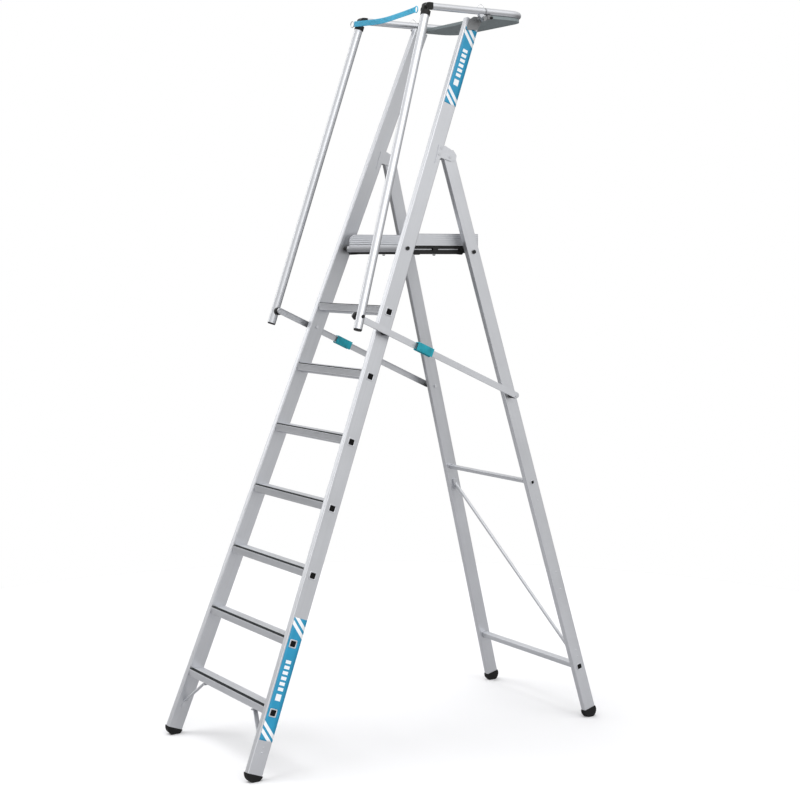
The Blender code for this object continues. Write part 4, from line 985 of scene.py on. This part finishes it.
def rail_axis(tag):
    """Lower and upper ends of a hand rail's axis, from the box of its CAD node."""
    low, high = node_span(f"hand_rail_{tag}")
    side = 1 if low[0] > 0 else -1
    reach = RAIL_RADIUS * np.array([0.9968, 0.959, 0.295])
    bottom = np.array([high[0] if side > 0 else low[0], low[1], low[2]])
    top = np.array([low[0] if side > 0 else high[0], high[1], high[2]])
    inset = np.array([side * reach[0], -reach[1], -reach[2]])
    return bottom - inset, top + inset


class LADDER_OT_hand_rails(bpy.types.Operator):
    """Round hand rails"""

    bl_idname = "ladder.hand_rails"
    bl_label = "Hand rails"

    def execute(self, context):
        for tag, _ in SIDES:
            bottom, top = rail_axis(tag)
            shell = Shell()
            tube(shell, straight(bottom, top, 12), RAIL_RADIUS, PIPE_WALL, 56)
            node = f"hand_rail_{tag}"
            shell.build(f"rail_{tag}", ["rail"], node, "aluminium", [node])
        return {"FINISHED"}


class LADDER_OT_side_arms(bpy.types.Operator):
    """Round side arms with their pivot lugs and wire hooks"""

    bl_idname = "ladder.side_arms"
    bl_label = "Side arms"

    def execute(self, context):
        z = KNUCKLE[1]
        for tag, side in SIDES:
            low, high = node_span(f"side_arm_{tag}")
            x = side * ARM_X
            shell = Shell()
            tube(shell, straight((x, low[1], z), (x, high[1], z), 8), ARM_RADIUS, PIPE_WALL)
            a = np.linspace(0, 2 * np.pi, 33)[:-1]
            lug = ARM_PIVOT + 0.0095 * np.stack([np.cos(a), np.sin(a)], axis=-1)
            lug[(a > 0.9) & (a < 3.4)] += (-0.0125, 0.011)
            across = x + np.array([-0.0075, -0.0070, 0.0070, 0.0075])
            shell.grid(across_x(lug, across), close_v=True, caps=True)
            node = f"side_arm_{tag}"
            shell.build(f"arm_{tag}", ["arm"], node, "aluminium", [node], smooth=40)
            shell = Shell()
            y = high[1] - 0.023
            t = np.linspace(-1, 1, 31)[:, None]
            # The hook: an inverted V over the tube, its peak rounded by a hyperbola.
            peak = z + 0.0275 - 0.011 * np.sqrt(t**2 + 0.03)
            path = np.concatenate([x + 0 * t + side * 0.002, y + 0.015 * t, peak], axis=-1)
            ends = path[[0, -1]].copy()
            ends[:, 2] = z + 0.0128
            path = np.concatenate([ends[:1], path, ends[1:]])
            shell.grid(carried(circle(0.0012, 10), path), close_v=True, caps=True)
            shell.build(f"wire_hook_{tag}", ["bright"], node, "chrome")
        return {"FINISHED"}


class LADDER_OT_rear_rail(bpy.types.Operator):
    """The bent rear rail"""

    bl_idname = "ladder.rear_rail"
    bl_label = "Rear rail"

    def execute(self, context):
        low, high = node_span("rear_rail")
        bend = RAIL_BEND
        x, y, z = ARM_X, high[1] - ARM_RADIUS, (low[2] + high[2]) / 2
        a = np.linspace(0, np.pi / 2, 20)
        arc = np.stack([x - bend + bend * np.cos(a), y - bend + bend * np.sin(a), z + 0 * a], axis=-1)
        start = straight((x, low[1], z), (x, y - bend, z), 6)[:-1]
        half = np.concatenate([start, arc])
        other = half[::-1] * (-1, 1, 1)
        shell = Shell()
        tube(shell, np.concatenate([half, other]), ARM_RADIUS, PIPE_WALL)
        shell.build("rail_loop", ["arm"], "front_frame", "aluminium", ["rear_rail"])
        return {"FINISHED"}


# Radii of a lock pin, and where each lies as a share of its length.
LOCK_PIN = (
    [0.0032, 0.0034, 0.0034, 0.0052, 0.0056, 0.0050, 0.003],
    [0, 0.03, 0.70, 0.72, 0.85, 0.96, 1.0],
)


class LADDER_OT_fittings(bpy.types.Operator):
    """Bright washers of the rail joints and the lock pins of the side arms"""

    bl_idname = "ladder.fittings"
    bl_label = "Rail fittings"

    def execute(self, context):
        z = KNUCKLE[1]
        for tag, side in SIDES:
            x = side * ARM_X
            shell = Shell()
            for offset in (-0.0093, 0.0093):
                at = np.array([x + offset - 0.0002, KNUCKLE[0], z])
                turned_piece(
                    shell, at, at + (0.0004, 0, 0), [0.0128, 0.0133, 0.0133, 0.0128], [0, 0.1, 0.9, 1.0]
                )
            shell.build(f"knuckle_washers_{tag}", ["bright"], f"side_arm_{tag}", "chrome")
            shell = Shell()
            start = np.array([x - side * 0.012, ARM_PIVOT[0] + 0.030, ARM_PIVOT[1] + 0.003])
            turned_piece(shell, start, start + (side * 0.030, 0, 0), *LOCK_PIN)
            shell.build(f"lock_pin_{tag}", ["black"], "front_frame", "black_plastic")
        return {"FINISHED"}


def strap_line(count):
    """Centre line of the strap from its left ring to its right eye: level ends, sagging as a parabola."""
    low, high = node_span("safety_strap")
    t = np.linspace(0, 1, count)
    top = high[2] - 0.0105
    x = low[0] + (high[0] - low[0]) * t
    y = (low[1] + high[1]) / 2 - 0.0022 * np.sin(np.pi * t) + 0.0006 * np.sin(5 * np.pi * t)
    z = top - 0.012 * 4 * t * (1 - t) + 0.0009 * np.sin(3 * np.pi * t)
    return np.stack([x, y, z], axis=-1)


def ribbon(shell, line, width, thickness, lean, mark=0):
    """A flat band about a line: its section is a rounded slab, tipped from upright by lean (radians)."""
    a = np.linspace(0, 2 * np.pi, 29)[:-1]
    slab = np.stack([np.sign(np.cos(a)) * np.abs(np.cos(a)) ** 0.35, np.sin(a)], axis=-1)
    side, lift = frames_along(line)
    c, s = np.cos(lean)[:, None, None], np.sin(lean)[:, None, None]
    up = c * lift[:, None] + s * side[:, None]
    out = c * side[:, None] - s * lift[:, None]
    tall, thick = slab[None, :, 0, None] * width / 2, slab[None, :, 1, None] * thickness / 2
    grid = line[:, None] + up * tall + out * thick
    step = np.linalg.norm(np.diff(line, axis=0), axis=1)
    run = np.concatenate([[0], np.cumsum(step)]) * 1000
    uv = np.stack(np.broadcast_arrays(slab[None, :, 0] * width * 500, run[:, None]), axis=-1)
    shell.grid(grid, close_v=True, caps=True, mark=mark, map_uv=uv)


STITCH = ([0.0002, 0.00042, 0.00042, 0.0002], [0, 0.2, 0.8, 1])  # radii and shares of its length


class LADDER_OT_strap(bpy.types.Operator):
    """Woven safety strap with folded and stitched ends and its eye"""

    bl_idname = "ladder.strap"
    bl_label = "Safety strap"

    def execute(self, context):
        sizes = context.scene.ladder_sizes
        line = strap_line(90)
        t = np.linspace(0, 1, len(line))
        shell = Shell()
        ribbon(shell, line, 0.0215, sizes.weave, 0.10 * np.sin(2 * np.pi * t))
        # The folded ends lie behind the band: same line, one thickness further back.
        for part in (slice(0, 12), slice(-12, None)):
            fold = line[part] + (0, sizes.weave * 1.15, 0)
            ribbon(shell, fold, 0.0205, sizes.weave, 0.10 * np.sin(2 * np.pi * t[part]))
        shell.build("strap_band", ["webbing"], "hand_rail_L", "webbing", ["safety_strap"], smooth=60)
        stitches = Shell()
        for centre in (5, 9, len(line) - 6, len(line) - 10):
            at = line[centre]
            rows = np.linspace(-0.0085, 0.0085, 9)
            for dz in rows:
                a = at + (-0.0009, -sizes.weave * 0.52, dz)
                turned_piece(stitches, a, a + (0.0018, 0, 0), *STITCH, 8)
        stitches.build("strap_stitches", ["webbing"], "hand_rail_L", "webbing")
        eye = Shell()
        a = np.linspace(0, 2 * np.pi, 49)[:-1]
        end = line[-1] + (0.0095, 0, 0)
        ring = end + np.stack([0.0100 * np.cos(a), 0 * a, 0.0115 * np.sin(a)], axis=-1)
        inward = np.stack([np.cos(a), 0 * a, np.sin(a)], axis=-1)
        section = circle(0.0018, 12)
        a, b = section[None, :, 0, None], section[None, :, 1, None]
        body = ring[:, None] + a * inward[:, None] + b * np.array([0.0, 1.0, 0.0])
        eye.grid(body, close_u=True, close_v=True)
        eye.build("strap_eye", ["hook"], "hand_rail_L", "chrome")
        return {"FINISHED"}


FLOOR_RADIUS = 3.4
SKY_CLIMB = {"From Min": -0.15, "From Max": 0.45, "To Min": 0.18, "To Max": 0.88}
SKY_LEAN = 0.50
# Name, place that the light comes from, strength and angle in degrees.
LIGHTS = (
    ("key", (-0.7, -1.1, 3.5), 1.35, 34),
    ("fill", (3.4, -0.4, 2.4), 0.75, 60),
    ("rim", (-3.4, -1.8, 1.17), 0.16, 20),
)
EYE = (5.3301, -2.4980 + SHIFT, 1.8647)
AIM = (-0.84153, 0.53277, -0.08933)
LENS = 72.18  # on a 36 mm sensor


class LADDER_OT_stage(bpy.types.Operator):
    """Pale floor, soft studio lights and the camera"""

    bl_idname = "ladder.stage"
    bl_label = "Stage"

    def sky(self, scene):
        """A white surround that lights the ladder from above and from +X more than from elsewhere."""
        world = bpy.data.worlds.new("studio")
        scene.world = world
        world.use_nodes = True
        tree = world.node_tree
        background = tree.nodes["Background"]
        background.inputs["Color"].default_value = (1.0, 1.0, 1.0, 1.0)
        direction = tree.nodes.new("ShaderNodeTexCoord")
        parts = tree.nodes.new("ShaderNodeSeparateXYZ")
        climb = tree.nodes.new("ShaderNodeMapRange")
        near = tree.nodes.new("ShaderNodeMath")
        lean = tree.nodes.new("ShaderNodeMath")
        seen = tree.nodes.new("ShaderNodeLightPath")
        pick = tree.nodes.new("ShaderNodeMix")
        # Strength climbs from below the horizon upwards, and grows with +X as far as X is positive.
        for key, value in SKY_CLIMB.items():
            climb.inputs[key].default_value = value
        near.operation, near.inputs[1].default_value = "MAXIMUM", 0.0
        lean.operation, lean.inputs[1].default_value = "MULTIPLY_ADD", SKY_LEAN
        pick.inputs[3].default_value = 1.0  # what the camera sees
        for out, into in (
            (direction.outputs["Generated"], parts.inputs["Vector"]),
            (parts.outputs["Z"], climb.inputs["Value"]),
            (parts.outputs["X"], near.inputs[0]),
            (near.outputs[0], lean.inputs[0]),
            (climb.outputs["Result"], lean.inputs[2]),
            (seen.outputs["Is Camera Ray"], pick.inputs[0]),
            (lean.outputs[0], pick.inputs[2]),
            (pick.outputs[0], background.inputs["Strength"]),
        ):
            tree.links.new(out, into)

    def execute(self, context):
        scene = context.scene
        floor = bpy.data.meshes.new("floor")
        ring = np.concatenate([circle(FLOOR_RADIUS, 96), np.full((96, 1), -0.0005)], axis=1)
        floor.from_pydata(ring.tolist(), [], [list(range(96))])
        ground = bpy.data.objects.new("floor", floor)
        scene.collection.objects.link(ground)
        paint = Nodes("pale floor", (0.93, 0.93, 0.94), 0.9)
        cloud = paint.noise(paint.place(), 0.6, 2.0)
        pale = paint.blend(paint.ramp(cloud, 0.0, 1.0), (0.73, 0.73, 0.74), (0.75, 0.75, 0.76))
        # The floor glows less on the ladder than it looks.
        seen = paint.add("ShaderNodeLightPath").outputs["Is Camera Ray"]
        paint.colour(paint.blend(seen, (0.42, 0.42, 0.43), pale))
        floor.materials.append(paint.material)
        self.sky(scene)
        scene.view_settings.view_transform = "Standard"
        for name, place, strength, width in LIGHTS:
            light = bpy.data.lights.new(name, "SUN")
            light.energy = strength
            light.angle = math.radians(width)
            lamp = bpy.data.objects.new(name, light)
            lamp.location = place
            lamp.rotation_euler = (-Vector(place)).to_track_quat("-Z", "Y").to_euler()
            scene.collection.objects.link(lamp)
        camera = bpy.data.cameras.new("camera")
        camera.sensor_width = 36.0
        camera.lens = LENS
        camera.clip_end = 200.0
        eye = bpy.data.objects.new("camera", camera)
        eye.location = EYE
        eye.rotation_euler = Vector(AIM).to_track_quat("-Z", "Y").to_euler()
        scene.collection.objects.link(eye)
        scene.camera = eye
        return {"FINISHED"}


PIECES = (
    LADDER_OT_stage,
    LADDER_OT_metalwork,
    LADDER_OT_treads,
    LADDER_OT_strips,
    LADDER_OT_bands,
    LADDER_OT_crossbars,
    LADDER_OT_rivets,
    LADDER_OT_deck,
    LADDER_OT_boards,
    LADDER_OT_side_mouldings,
    LADDER_OT_sleeves,
    LADDER_OT_hand_rails,
    LADDER_OT_side_arms,
    LADDER_OT_rear_rail,
    LADDER_OT_fittings,
    LADDER_OT_strap,
)


class LADDER_PT_panel(bpy.types.Panel):
    """Lists the ladder's colours, sizes and pieces"""

    bl_idname = "LADDER_PT_panel"
    bl_label = "Ladder"
    bl_space_type = "VIEW_3D"
    bl_region_type = "UI"
    bl_category = "Ladder"

    def draw(self, context):
        for group in (context.scene.ladder_look, context.scene.ladder_sizes):
            box = self.layout.box()
            for key in group.bl_rna.properties.keys():
                if key not in ("rna_type", "name"):
                    box.prop(group, key)
        for piece in PIECES:
            self.layout.operator(piece.bl_idname)


CLASSES = (LADDER_look, LADDER_sizes, *PIECES, LADDER_PT_panel)


def register():
    for entry in CLASSES:
        bpy.utils.register_class(entry)
    bpy.types.Scene.ladder_look = bpy.props.PointerProperty(type=LADDER_look)
    bpy.types.Scene.ladder_sizes = bpy.props.PointerProperty(type=LADDER_sizes)


def unregister():
    del bpy.types.Scene.ladder_sizes
    del bpy.types.Scene.ladder_look
    for entry in reversed(CLASSES):
        bpy.utils.unregister_class(entry)


def main():
    register()
    make_finishes(bpy.context.scene.ladder_look)
    for piece in PIECES:
        group, name = piece.bl_idname.split(".")
        getattr(getattr(bpy.ops, group), name)()


if __name__ == "__main__":
    main()
